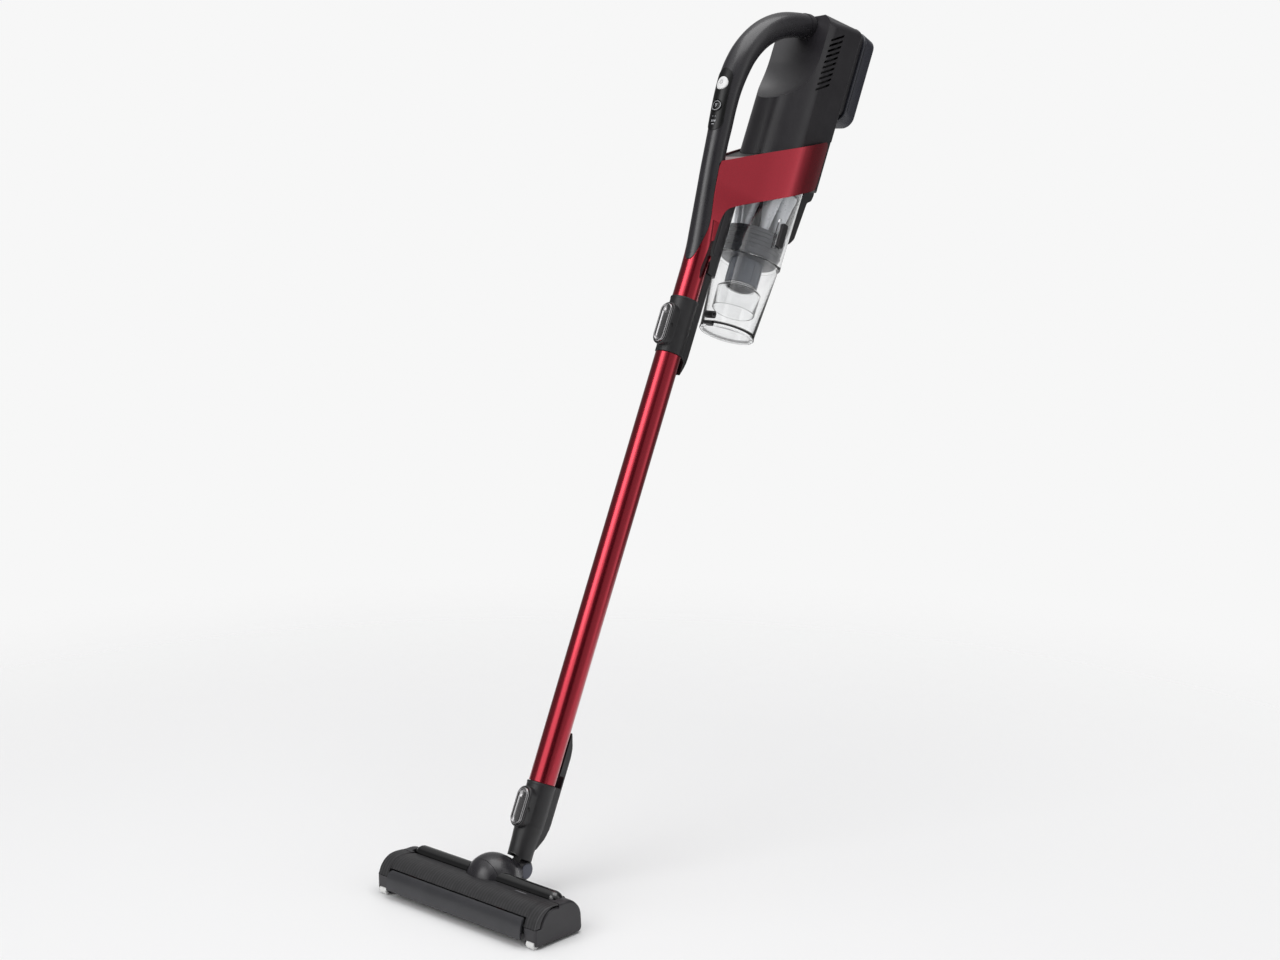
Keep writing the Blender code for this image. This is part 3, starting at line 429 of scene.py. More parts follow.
def ribbed():
    """Matte cover with fine ribs across it and a woven-looking tone."""
    g = Graph("ribbed_charcoal")
    s = g.shader.inputs
    fine = g.add("ShaderNodeTexWave", bands_direction="X")
    fine.inputs["Scale"].default_value = pi / 10 / (1.2 * MM)
    broad = g.add("ShaderNodeTexWave", bands_direction="X")
    broad.inputs["Scale"].default_value = pi / 10 / (3.6 * MM)
    for wave in (fine, broad):
        g.link(g.where, wave.inputs["Vector"])
    both = g.add("ShaderNodeMath", operation="MULTIPLY")
    g.link(broad.outputs["Fac"], both.inputs[0])
    g.link(g.spread(g.noise(4.0, 2, (1, 0.35, 0.35)), 0.5, 1.0), both.inputs[1])
    g.link(g.blend(both.outputs[0], (0.0080, 0.0078, 0.0085), (0.034, 0.033, 0.036)), s["Base Color"])
    g.link(g.spread(g.noise(6, 3), 0.42, 0.54), s["Roughness"])
    g.bump(fine.outputs["Fac"], 0.10, 0.5)
    return g.mat


CHARCOAL = plastic("charcoal", (0.0185, 0.0170, 0.0203), 0.35, depth=0.012, tone=0.08, wander=0.04)
CHARCOAL_SATIN = plastic("charcoal_satin", (0.0200, 0.0188, 0.0222), 0.28, depth=0.008, tone=0.08, wander=0.03,
                         coat=0.12, coat_rough=0.2)
FLAP_SATIN = plastic("flap_satin", (0.030, 0.030, 0.034), 0.36, depth=0.008, tone=0.06, wander=0.03)
BLACK = plastic("soft_black", (0.0130, 0.0125, 0.0140), 0.44, depth=0.02, tone=0.10)
# near-black of the release pins, also used as the painted shade sheet behind the vents
DARK_AND_SHADE = plastic("inner_black_and_painted_shade", (0.004, 0.004, 0.0045), 0.55, depth=0.02)
GLOSS = plastic("gloss_black", (0.0030, 0.0030, 0.0035), 0.12, depth=0.0, tone=0.05, coat=0.5, coat_rough=0.05,
                wander=0.02)
PANEL_BLACK = plastic("panel_black", (0.0035, 0.0035, 0.004), 0.34, depth=0.0, tone=0.05, wander=0.02,
                      specular=0.35)
RED = candy_red()
RED_DEEP = plastic("deep_red", (0.035, 0.002, 0.005), 0.25, depth=0.0, tone=0.05)
CLEAR = clear("clear_cup", (0.985, 0.988, 0.99))
CLEAR_LID = clear("clear_lid", (0.97, 0.975, 0.98))
SILVER = plastic("silver_plastic", (0.60, 0.62, 0.65), 0.30, metallic=0.15, depth=0.01, tone=0.05, coat=0.2)
GREY = plastic("cyclone_grey", (0.050, 0.053, 0.061), 0.34, depth=0.015, tone=0.10)
COLUMN = plastic("column_grey", (0.095, 0.105, 0.125), 0.34, depth=0.01, tone=0.10)
WHITE = plastic("white_button", (0.74, 0.74, 0.74), 0.35, depth=0.0, tone=0.02, coat=0.2)
PRINT = plastic("pale_print", (0.50, 0.51, 0.53), 0.45, depth=0.0, tone=0.03)
MARK = plastic("grey_print", (0.16, 0.16, 0.17), 0.4, depth=0.0, tone=0.03)
CHROME = plastic("dark_chrome", (0.26, 0.255, 0.26), 0.20, metallic=0.95, depth=0.004, tone=0.06, wander=0.03)
STEEL = plastic("plain_steel", (0.55, 0.55, 0.57), 0.28, metallic=1.0, grain=0.6, depth=0.008, tone=0.05)
SLATE = plastic("battery_slate", (0.0290, 0.0300, 0.0410), 0.26, depth=0.008, tone=0.08, wander=0.03)
# light grey-blue of the painted highlight band on the battery's front edge
EDGE_HIGHLIGHT = plastic("battery_rim_painted_highlight", (0.16, 0.165, 0.19), 0.25, depth=0.0, tone=0.04)
# hinge discs: slate made lighter and bluish, a painted reflection of the studio on the elbow's side
HINGE_DISC_PAINTED_SHEEN = plastic("hinge_disc_painted_sheen", (0.075, 0.080, 0.110), 0.34, depth=0.006, tone=0.06)
RUBBER = plastic("soft_rubber", (0.014, 0.014, 0.0145), 0.72, grain=0.5, depth=0.04, tone=0.12)
ROLLER_WHITE = plastic("roller_white", (0.74, 0.74, 0.73), 0.38, depth=0.01, tone=0.04)
BRISTLE = plastic("bristle_red", (0.045, 0.006, 0.008), 0.75, grain=0.4, depth=0.12, tone=0.35)
BRISTLE_SOFT = plastic("bristle_grey", (0.035, 0.035, 0.037), 0.75, grain=0.4, depth=0.12, tone=0.3)
COPPER = plastic("copper_winding", (0.60, 0.25, 0.12), 0.32, metallic=1.0, grain=0.5, depth=0.03)
FELT = plastic("filter_felt", (0.50, 0.51, 0.50), 0.90, grain=0.8, depth=0.15, tone=0.15)
BOARD = plastic("board_green", (0.02, 0.10, 0.04), 0.40, grain=0.8, depth=0.01, tone=0.2)
RIBBED = ribbed()


# ================================================================ HAND UNIT
def tube_rings(rows, grow):
    """Rings of a round tube along (b, t, r) rows, square to its path."""
    rings = []
    for i, (b, t, r) in enumerate(rows):
        b0, t0 = rows[max(i - 1, 0)][:2]
        b1, t1 = rows[min(i + 1, len(rows) - 1)][:2]
        d = Vector((0, b1 - b0, t1 - t0)).normalized() if i else Vector((0, 0, 1))
        side = Vector((0, d.z, -d.y))
        rings.append([Vector((0, b, t)) + (r + grow) * (c * Vector((1, 0, 0)) + s * side) for c, s in arc(64)])
    return rings


HANDLE_FINE = flow(HANDLE, 6)
SEAM_FINE = flow(SEAM, 6)


def handle_part(t_lo, t_hi):
    return [row for row in HANDLE_FINE if t_lo < row[1] < t_hi]


def front_of_handle(t):
    rows = handle_part(0, 880)
    return table(rows, 1, 0, t) - table(rows, 1, 2, t)


POWER_T, POWER_R = 834.0, 7.4
MODE_T, MODE_R = 809.0, 6.4
PANEL_T, PANEL_HALF = 817, 34


def disc_tool(t, r, b0, b1):
    return turned([(r, b0), (r, b1)], "b", (0, t), n=64)


handle = skin(tube_rings(HANDLE_FINE, -0.05))
behind = [(-17.5, 600), (-17.5, 643.4)] + [(b, t) for b, t in SEAM_FINE] + [(3.5, 766), (60, 766), (60, 600)]
carve(handle, across(fillet(behind, 1.2)),
      disc_tool(POWER_T, POWER_R + 0.25, -70, front_of_handle(POWER_T) + 6),
      disc_tool(MODE_T, MODE_R + 0.25, -70, front_of_handle(MODE_T) + 6))
piece(handle, "handle_shell", CHARCOAL_SATIN, "hand_unit", "charcoal", "handle_tube", edge=0.45)

# the control panel is a thin shell round the front of the handle
panel = skin(tube_rings(handle_part(775, 858), 0.7))
keep(panel, slab(stadium(0, PANEL_T, 9.6, PANEL_HALF, 24), -90, -24, "b"))
carve(panel, skin(tube_rings(handle_part(768, 866), -0.35)),
      disc_tool(POWER_T, POWER_R + 0.3, -70, -20), disc_tool(MODE_T, MODE_R + 0.3, -70, -20))
piece(panel, "panel_gloss", PANEL_BLACK, "hand_unit", "gloss_black", "control_panel", edge=0.25)


FRONT_R = 13.6           # round of the handle's front


def wrap(obj):
    """Bends a flat shape round the front of the handle."""
    back = STICK.inverted()
    for v in obj.data.vertices:
        p = back @ v.co
        p.y += FRONT_R - sqrt(FRONT_R ** 2 - p.x ** 2)
        v.co = STICK @ p
    return obj


def push_button(name, t, r, material, body, slot, *nodes):
    """Round button that follows the round of the handle."""
    f = front_of_handle(t)
    face = [(0.02, f - 1.1), (r * 0.3, f - 1.1), (r * 0.6, f - 1.1), (r - 0.9, f - 1.0), (r, f - 0.3)]
    button = wrap(turned(flow(face, 5) + [(r, f + 2.2), (0.02, f + 2.2)], "b", (0, t)))
    return piece(button, name, material, body, slot, *nodes)


def ring_mark(name, t, r_in, r_out, b, material, body, gap=0.0):
    """Thin printed ring; gap in degrees is left open at its top."""
    if gap:
        points = arc(48, pi / 2 + radians(gap) / 2, 2 * pi - radians(gap))
        outline = [(r_out * c, t + r_out * s) for c, s in points]
        outline += [(r_in * c, t + r_in * s) for c, s in reversed(points)]
        mark = slab(outline, b, b + 0.5, "b")
    else:
        mark = turned([(r_in, b), (r_out, b), (r_out, b + 0.5), (r_in, b + 0.5)], "b", (0, t), tube=True)
    return piece(wrap(mark), name, material, body, "white")


def bar_mark(name, x, t, w, h, b, material, body):
    """Thin printed bar, w and h to each side of its middle."""
    corners = [(x - w, t - h), (x + w, t - h), (x + w, t + h), (x - w, t + h)]
    return piece(wrap(slab(fillet(corners, 0.15, 2), b, b + 0.5, "b")), name, material, body, "white")


push_button("power_button_cap", POWER_T, POWER_R, WHITE, "power_button", "white", "power_button")
power_face = front_of_handle(POWER_T) - 1.2
ring_mark("power_symbol_ring", POWER_T + 0.6, 1.55, 2.0, power_face, MARK, "power_button", gap=70)
bar_mark("power_symbol_bar", 0, POWER_T + 2.5, 0.24, 1.3, power_face, MARK, "power_button")
bar_mark("power_symbol_dash", 0, POWER_T - 3.4, 2.6, 0.28, power_face + 0.06, MARK, "power_button")
push_button("mode_button_cap", MODE_T, MODE_R, PANEL_BLACK, "mode_button", "gloss_black", "mode_button")
mode_face = front_of_handle(MODE_T) - 1.2
ring_mark("mode_button_ring", MODE_T, 4.9, 5.3, mode_face, PRINT, "mode_button")
for k, w in enumerate((0.5, 1.0, 1.5)):
    bar_mark("mode_symbol_bar_%d" % k, 0, MODE_T - 1.4 + 1.5 * k, w, 0.32, mode_face, PRINT, "mode_button")
LIGHT_MARKS = ((0, 797.8, 2.2, 0.28), (-2.2, 793, 0.5, 1.1), (0, 793, 0.5, 1.1), (2.2, 793, 0.5, 1.1),
               (0, 789.4, 1.6, 0.3))
for k, (x, t, w, h) in enumerate(LIGHT_MARKS):
    bar_mark("light_mark_%d" % k, x, t, w, h, front_of_handle(t) - 0.95, PRINT, "hand_unit")
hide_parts("indicator_light")


# red frame: pipe end, arm and side band as one lacquered moulding
def band_top(b):
    """Height of the band's top edge."""
    return 754 + 0.66 * (b + 21) - 0.00025 * (b + 21) ** 2


def band_bottom(b):
    return 719.2 + 0.62 * (b - 13.6)


BAND_FINE = flow(BAND, 5)
BAND_END = 114           # the band's back face


def band_share(t):
    """Share of the band's full width at height t; it grows out of the arm."""
    f = min(max((t - 688) / 48, 0), 1)
    return 0.83 + 0.17 * f * f * (3 - 2 * f)


def band_body(back_in, b0, b1):
    """Band as an upright body, moved inwards by back_in."""
    half = [(b, w) for b, w in BAND_FINE if b0 < b < b1]
    half = [(b0, table(BAND_FINE, 0, 1, b0))] + half + [(b1, table(BAND_FINE, 0, 1, b1))]
    rings = []
    for t in [600 - back_in] + [688 + 4 * k for k in range(13)] + [910 + back_in]:
        right = [(max(w * band_share(t) - back_in, 0.6), b) for b, w in half]
        rings.append([(x, b, t) for x, b in right + [(-x, b) for x, b in reversed(right)]])
    return skin(rings)


ARM_FINE = flow(ARM, 5)
tube_end = turned([(PIPE_R, 607), (PIPE_R, 655)], "t", ON_PIPE, n=96)
arm_rings = []
for k in range(30):
    t = 640 + 4.0 * k
    bc, r = table(HANDLE_FINE[:40], 1, 0, t), table(HANDLE_FINE[:40], 1, 2, t)
    rear, w = table(ARM_FINE, 0, 1, t), table(ARM_FINE, 0, 2, t)
    if t < 655:
        w = min(max(w, 9), sqrt(max((PIPE_R - 0.1) ** 2 - rear ** 2, 1)))
    ring = [(r * sin(a), bc - r * cos(a)) for a in [radians(-100 + 5 * j) for j in range(41)]]
    ring = [(-w, rear)] + ring + [(w, rear)]
    if t > 696:
        room = [max(table(BAND_FINE, 0, 1, b) * band_share(t) - 0.4, 2) for x, b in ring]
        ring = [(max(-q, min(q, x)), b) for (x, b), q in zip(ring, room)]
    arm_rings.append([(x, b, t) for x, b in ring])
arm = skin(arm_rings)
band = band_body(0, -21, BAND_END)
low_edge = flow([(0.9, 680), (0.9, 692), (1.6, 702), (4.8, 711), (13.6, 718.6), (30, 729.4), (60, 748)], 6)
low = [(60, 500), (0.9, 500)] + low_edge + [(140, band_bottom(140)), (140, 500)]
top = [(b, band_top(b)) for b in range(-30, 141, 5)] + [(140, 950), (-30, 950)]
corner = [(104, band_top(104) + 2), (108, band_top(108) - 0.2), (111.4, band_top(111) - 2.2),
          (113.2, band_top(113) - 5.5), (113.75, band_top(BAND_END) - 12), (125, band_top(BAND_END) - 12),
          (125, band_top(104) + 20), (104, band_top(104) + 20)]
foot_corner = [(113.75, 800), (113.2, band_bottom(113) + 5), (110.6, band_bottom(110) - 0.2),
               (108, band_bottom(108) - 8), (130, 740), (130, 800)]
back_gap = slab([(0, 112.9), (33.2, 112.9), (33.2, 140), (-33.2, 140), (-33.2, 112.9)], 590, 910, "t")
carve(band, band_body(BAND_T, 4.5, BAND_END - 0.1), back_gap, across(top), across(low),
      across([(-40, 500), (-40, 694), (2.5, 694), (2.5, 500)]), across(fillet(corner, 3)),
      across(fillet(foot_corner, 2)))
frame_red = weld(tube_end, arm)
weld(frame_red, band)
seam_back = [(b + 0.3, t) for b, t in reversed(SEAM_FINE[1:-1])]
ahead = [(-60, 560), (-60, 800), (-21.3, 800), (-20.7, 752.5)] + seam_back + \
    [(-13.3, 647.5), (-17.0, 643.5), (-17.0, 560)]
handle_room = skin(tube_rings(flow(HANDLE[5:8], 4), 0.3))
pocket = fillet([(-2.6, 629.5), (3.2, 634), (6.2, 668), (2.6, 675.5), (-1.6, 672), (-4.6, 640)], 2.5, 5)
carve(frame_red, across(ahead), handle_room, across(top), turned([(10.6, 600), (10.6, 690)], "t", ON_PIPE),
      slab(pocket, 11.0, 30, "x"), slab(pocket, -30, -11.0, "x"))
piece(frame_red, "frame_lacquer", RED, "hand_unit", "red", "red_frame", edge=0.55, angle=42)
for side, name in SIDES:
    pocket_floor = slab(inset(pocket, 0.2), *span(side, 10.95, 11.3), "x")
    piece(pocket_floor, "arm_pocket_" + name, RED_DEEP, "hand_unit", "red")


# core, deck and inner parts keep their CAD shape
def dress(node, material, edge):
    """Gives a carried-over node soft edges and its fine material."""
    obj = NODES[node]
    obj.data.materials.clear()
    obj.data.materials.append(material)
    obj.data.shade_smooth()
    obj.data.set_sharp_from_angle(angle=radians(38))
    if edge:
        mod = obj.modifiers.new("edges", "BEVEL")
        mod.width, mod.segments, mod.limit_method = edge * MM, 2, "ANGLE"
        mod.angle_limit = radians(38)
        even = obj.modifiers.new("normals", "WEIGHTED_NORMAL")
        even.keep_sharp = True


for material, nodes in ((BLACK, ("body_core", "pipe_plug", "wand_plug", "brush_pinion", "brush_pulley", "chassis",
                                 "sole_plate")),
                        (STEEL, ("motor_can", "battery_cells", "neck_hinge_pin", "brush_motor")),
                        (DARK_AND_SHADE, ("upper_coupler_release_pin", "neck_release_pin")),
                        (FELT, ("pre_motor_filter",)), (BOARD, ("control_board",))):
    for node in nodes:
        dress(node, material, 0.3)
dress("motor_fan", COPPER, 0.0)
dress("drive_belt", RUBBER, 0.0)


# motor housing: round front, flatter sides, a scoop under the handle, vents on both sides
def house_plan(back_in):
    """Outline of the housing seen from above, moved inwards by back_in."""
    pts = [((HOUSE_R - back_in) * s, HOUSE_B - (HOUSE_R - back_in) * c) for c, s in arc(49, -pi / 2, pi)]
    w, back = HOUSE_BACK_W - back_in, HOUSE_BACK - back_in
    return pts + [(w + 2.2, HOUSE_B + 20), (w + 0.8, HOUSE_B + 38)] + \
        [(w - 5 + 5 * c, back - 5 + 5 * s) for c, s in arc(7, 0, pi / 2)] + \
        [(-w + 5 + 5 * c, back - 5 + 5 * s) for c, s in arc(7, pi / 2, pi / 2)] + \
        [(-w - 0.8, HOUSE_B + 38), (-w - 2.2, HOUSE_B + 20)]


def roof(x, b):
    """Height of the housing's crowned top."""
    return 967.8 + 0.25 * max(b - 62, 0) - 9 * (x / 30) ** 2


ROOF_R = 4.2             # rounding between the housing's sides and its top
house_rings = [[(x, b, 770) for x, b in house_plan(0)]]
for k in range(9):
    a = pi / 2 * k / 8
    plan = house_plan(ROOF_R * (1 - cos(a)))
    house_rings.append([(x, b, roof(x, b) - ROOF_R * (1 - sin(a))) for x, b in plan])
house = skin(house_rings)
under = [(b, band_top(b) - 2.0) for b in range(-30, 151, 6)] + [(150, 700), (-30, 700)]


def scoop(grow):
    """Rounded hollow under the handle's bend."""
    rings = []
    for k in range(25):
        t = 851.9 + 64 * (1 - cos(pi / 2 * k / 24)) + (0 if k < 24 else 90)
        e = sqrt(max(1 - ((915 - min(t, 915)) / 63.2) ** 2, 0.0004))
        up = t - (grow if t < 900 else 0)
        rings.append([((68 * e + grow) * c, 25 + (42 * e + grow) * s, up) for c, s in arc(72)])
    return skin(rings)


def upright(back_in, t_lo, t_hi):
    """Housing outline carried straight up."""
    return skin([[(x, b, t) for x, b in house_plan(back_in)] for t in (t_lo, t_hi)])


cavity = upright(2.6, 760, 950)
carve(cavity, scoop(2.4), across([(0, 850), (61, 850), (63.5, 893), (80, 925), (100, 990), (0, 990)]))
carve(house, across(under), scoop(0.0), cavity)
carve(house, skin(tube_rings(HANDLE_FINE[-19:], 0.15)))
vents = []
for side, _ in SIDES:
    for k in range(10):
        t = 881.2 + 6.55 * k
        b = 70.0 + 0.2 * k
        slot = [(b - 3.5, t - 2.2), (b + 18.5, t + 14), (b + 18.5, t + 11), (b - 3.5, t - 5.2)]
        vents.append(slab(fillet(slot, 1.0, 3), *span(side, 27, 45), "x"))
carve(house, *vents)
piece(house, "motor_housing_shell", CHARCOAL, "hand_unit", "charcoal", "motor_housing", edge=0.5)

# collar where the handle enters the housing
collar = skin(tube_rings([r for r in HANDLE_FINE if 53 < r[0] < 66], 0.55)[1:])
carve(collar, skin(tube_rings(HANDLE_FINE[-10:], 0.05)))
piece(collar, "handle_collar", CHARCOAL, "hand_unit", "charcoal", edge=0.3)

# dark sheet behind the vent slots: painted shade standing in for the shadowed inside of the housing
vent_shade_sheet = upright(3.4, 866, 948)
carve(vent_shade_sheet, across([(0, 850), (61.2, 850), (63.7, 893), (80.2, 925), (100.2, 990), (0, 990)]),
      upright(4.6, 850, 960))
piece(vent_shade_sheet, "vent_painted_shade_sheet", DARK_AND_SHADE, "hand_unit", "charcoal")

# battery and its holder
holder = slab(rounded(-24, 880, 24, 974, 5, 8), HOUSE_BACK + 0.3, BATT_B0 - 0.3, "b", 0.5)
piece(holder, "battery_dock", CHARCOAL, "hand_unit", "charcoal", "battery_holder")
base = slab(rounded(-23.6, BATT_LO + 2.4, 23.6, BATT_HI - 2.4, 11, 12), BATT_B0, BATT_B0 + 8.2, "b", 0.6)
piece(base, "battery_base", CHARCOAL, "battery", "slate")
shell = slab(rounded(-BATT_HALF, BATT_LO, BATT_HALF, BATT_HI, 13, 16), BATT_B0 + 8.5, BATT_B1, "b", 1.5)
carve(shell, slab(stadium(0, BATT_LO + 16, 5.3, 7.3), BATT_B1 - 1.9, BATT_B1 + 5, "b"))
piece(shell, "battery_shell", SLATE, "battery", "slate", "battery_case")
# painted highlight: a thin light band round the battery's front edge stands in for the rounded edge catching the
# light
line = slab(rounded(-BATT_HALF, BATT_LO, BATT_HALF, BATT_HI, 13, 16), BATT_B0 + 11.3, BATT_B0 + 11.9, "b")
line_w, line_half = 0.35, BATT_HALF - 0.35
carve(line, slab(rounded(-line_half, BATT_LO + line_w, line_half, BATT_HI - line_w, 12.7, 16), 100, 200, "b"))
piece(line, "battery_edge_painted_highlight", EDGE_HIGHLIGHT, "battery", "slate")
press = slab(stadium(0, BATT_LO + 16, 5, 7), BATT_B1 - 1.2, BATT_B1 - 0.3, "b", 0.3)
piece(press, "battery_release_key", BLACK, "battery_release", "black", "battery_release")

# clip that holds the cup at the back
CLIP = [(119.5, 775), (127.8, 778), (128.6, 790), (133, 795), (143, 795), (146.5, 790), (145, 781), (138.5, 776),
        (134.5, 731), (128, 722), (119.5, 725), (119.5, 740)]
clip = slab(fillet(CLIP, 2.5, 5), -10, 10, "x", 1.2)
for k in range(4):
    t, b = 742 + 6 * k, 136.6 + 0.35 * k
    carve(clip, slab(fillet([(b, t), (141, t + 0.5), (141, t + 2.5), (b + 0.2, t + 2)], 0.4), -7, 7, "x"))
piece(clip, "cup_clip_lever", BLACK, "cup_clip", "black", "cup_clip", edge=0.25)

# black spine behind the arm, with a shallow panel on each side
SPINE = fillet([(-11, 3), (-12.5, 8), (-12.5, 21), (-9, 26.5), (9, 26.5), (12.5, 21), (12.5, 8), (11, 3)], 3, 5)
SPINE_PANEL = rounded(7.8, 662, 19, 716, 3)
spine = slab(SPINE, 641, 742, "t", 0.6)
over = [(b, band_bottom(max(b, 8)) + 2.0) for b in (-20, 8, 60)] + [(60, 800), (-20, 800)]
fore = flow([(9, 641), (9, 648), (6, 658), (3.6, 671), (3.0, 690), (3.0, 697), (4.4, 701.5), (5.2, 705)], 4)
carve(spine, across(over), turned([(PIPE_R + 0.3, 600), (PIPE_R + 0.3, 657)], "t", ON_PIPE),
      across([(-20, 600), (-20, 800), (5.2, 800)] + fore[::-1] + [(9, 600)]),
      slab(SPINE_PANEL, 12.1, 20, "x"), slab(SPINE_PANEL, -20, -12.1, "x"),
      solid_box((-6.5, 16.5, 640), (6.5, 22.5, 660.5)))
piece(spine, "spine_cover", BLACK, "hand_unit", "black", "spine", edge=0.5)
for side, name in SIDES:
    leaf = slab(rounded(8.2, 662.4, 18.6, 715.6, 2.6), *span(side, 12.15, 12.65), "x", 0.2)
    piece(leaf, "spine_panel_" + name, CHARCOAL, "hand_unit", "black")


# ================================================================ DUST CUP
AT_CUP = (0, CUP_B)


def cup_ring(profile, r, n=96):
    """Hollow turned part on the cup's axis."""
    return turned(profile, "t", AT_CUP, n=n, tube=True, r=r)


sleeve = cup_ring([(37.4, CUP_TOP), (36.35, 690), (36.6, 686.5), (36.6, 681.4), (34.3, 681.2), (34.5, 688),
                   (35.4, CUP_TOP)], 0.5, 128)
piece(sleeve, "cup_sleeve_clear", CLEAR, "dust_cup", "clear", "cup_sleeve", angle=50)
bowl = cup_ring([(35.2, 680.9), (34.7, 678), (30.0, 603.3), (28.6, 603.3), (33.2, 677), (33.2, 680.9)], 0.4, 128)
piece(bowl, "cup_bowl_clear", CLEAR, "dust_cup", "clear", "cup_bowl", angle=50)
ring = cup_ring([(33.6, 713), (33.5, 708), (32.4, 685), (30.5, 682.4), (18, 681), (18, 654.3), (15.5, 654.3),
                 (15.5, 684), (29, 687), (31, 713)], 0.6)
for k in range(5):
    t = 690 + 4.6 * k
    groove_r = table([(32.4, 684), (33.6, 713)], 1, 0, t) - 0.45
    carve(ring, cup_ring([(groove_r, t - 0.4), (40, t - 0.4), (40, t + 0.4), (groove_r, t + 0.4)], 0))
piece(ring, "separator_shroud", GREY, "dust_cup", "grey", "separator_ring", angle=30)
column = cup_ring([(18.25, 680.9), (18.25, 655), (18.05, 655), (18.05, 680.9)], 0)
piece(column, "separator_column", COLUMN, "dust_cup", "grey")
for k in range(10):
    rib = slab(rounded(-1.2, 658, 1.2, 677, 1.1, 5), 18.22, 18.7, "b", 0.1)
    turn = Matrix.Translation(Vector((0, CUP_B, 0))) @ Matrix.Rotation(2 * pi * k / 10, 4, "Z")
    rib.data.transform(STICK @ turn @ STICK.inverted())
    piece(rib, "column_rib_%d" % k, COLUMN, "dust_cup", "grey")
skirt = cup_ring([(18, 654), (24.5, 648.5), (24.0, 626), (22.9, 626), (23.3, 647.5), (15.6, 652.4),
                  (15.6, 654)], 0.4)
piece(skirt, "cup_skirt_clear", CLEAR, "dust_cup", "clear", "cup_skirt", angle=50)

# six silver cones below their plate
plate = cup_ring([(33.8, 762), (34.4, 773.2), (15, 773.2), (15, 764)], 0.8)
piece(plate, "cyclone_cap_ring", GREY, "dust_cup", "grey")
CONE = [(0.02, 713.6), (3.9, 713.6), (4.6, 715), (9.9, 751), (11.2, 756), (11.4, 761.5), (0.02, 761.5)]
CONE_CIRCLE = 21.0
for k in range(6):
    a = radians(60 * k + 30)
    cone = turned(CONE, "t", (CONE_CIRCLE * cos(a), CUP_B + CONE_CIRCLE * sin(a)), n=56, r=0.8)
    piece(cone, "cyclone_cone_%d" % k, SILVER, "dust_cup", "silver")
hub = turned([(0.02, 714.5), (5.5, 714.5), (12, 738), (17.5, 761.5), (0.02, 761.5)], "t", AT_CUP, n=64, r=1.0)
piece(hub, "cyclone_hub", GREY, "dust_cup", "silver", "cyclone_plate")

gasket = cup_ring([(29.9, 603.0), (29.9, 600.9), (27.6, 600.9), (27.6, 603.0)], 0.5, 128)
piece(gasket, "lid_seal", RUBBER, "dust_cup", "rubber", "lid_gasket")
lid = turned([(0.02, 597), (28.6, 597), (30.3, 598.4), (30.3, 600.6), (29, 600.6), (26.2, 599), (0.02, 599)],
             "t", AT_CUP, n=128, r=0.5)
carve(lid, slab(stadium(0, 47.4, 4, 5.2), 600.62, 606, "t"))
piece(lid, "cup_lid_clear", CLEAR_LID, "cup_lid", "clear", "cup_lid", angle=50)
ear = slab(fillet([(42.8, 597.4), (51.6, 597.2), (51.6, 600.3), (42.8, 600.3)], 0.8), -4, 4, "x", 0.4)
piece(ear, "cup_lid_ear", BLACK, "cup_lid", "clear")
HOOK = [(41.6, 604.6), (48.2, 604.6), (49.0, 607), (48.6, 611.6), (44.0, 612.2), (41.6, 610.2)]
hook = slab(fillet(HOOK, 2.2, 5), -6, 6, "x", 0.7)
carve(hook, turned([(30.9, 590), (30.9, 620)], "t", AT_CUP),
      turned([(1.3, -9), (1.3, 9)], "x", (44.6, 608.4), n=32))
piece(hook, "lid_hinge_hook", BLACK, "dust_cup", "black", "lid_hinge", edge=0.2)

# latch bar on the right, standing in a clear guide
bar = slab(rounded(71.2, 698, 80.8, 725, 2.6, 6), 37.2, 41.5, "x", 0.9)
carve(bar, turned([(37.15, 690), (37.6, 730)], "t", AT_CUP, n=96),
      *[slab(rounded(73, 702.5 + 5.2 * k, 79, 703.7 + 5.2 * k, 0.5, 3), 41.2, 43, "x") for k in range(4)])
piece(bar, "side_latch_bar", BLACK, "side_latch", "black", "side_latch", edge=0.15)
guide = slab(rounded(66.6, 694.6, 70.6, 728, 1.4), 36.9, 38.6, "x", 0.4)
carve(guide, turned([(36.95, 690), (37.6, 730)], "t", AT_CUP, n=96))
piece(guide, "latch_guide_front", CLEAR, "dust_cup", "clear")

# ================================================================ WAND
PIPE_BORE = 12.3
pipe_lo, pipe_hi = NECK_TOP + 0.4, COUPLER_LO - 0.3
pipe = turned([(PIPE_R, pipe_lo), (PIPE_R, pipe_hi), (PIPE_BORE, pipe_hi), (PIPE_BORE, pipe_lo)],
              "t", ON_PIPE, n=128, tube=True, r=0.5)
piece(pipe, "wand_pipe_red", RED, "wand", "red", "wand_pipe", angle=30)


def pipe_cut(r, t_lo, t_hi):
    """Round tool on the pipe's axis."""
    return turned([(r, t_lo), (r, t_hi)], "t", ON_PIPE, n=96)


def sleeve_lip(top, r_top, r_bulge, down):
    """Raised lip round a sleeve's mouth."""
    return turned([(r_top, top - down), (r_bulge, top - down + 1.0), (r_top, top), (13.2, top), (13.2, top - down)],
                  "t", ON_PIPE, n=96, tube=True, r=0.3)


def pod_shape(pod_t, pod_b, half):
    """Rounded housing of a release rocker, and the trough cut into it."""
    pod = slab(rounded(-9.6, pod_t - half, 9.6, pod_t + half, 9.3, 12), pod_b, 1, "b", 1.6)
    trough = slab(stadium(0, pod_t, 7.9, half - 1.4, 24), pod_b - 5, pod_b + 6.2, "b")
    return pod, trough


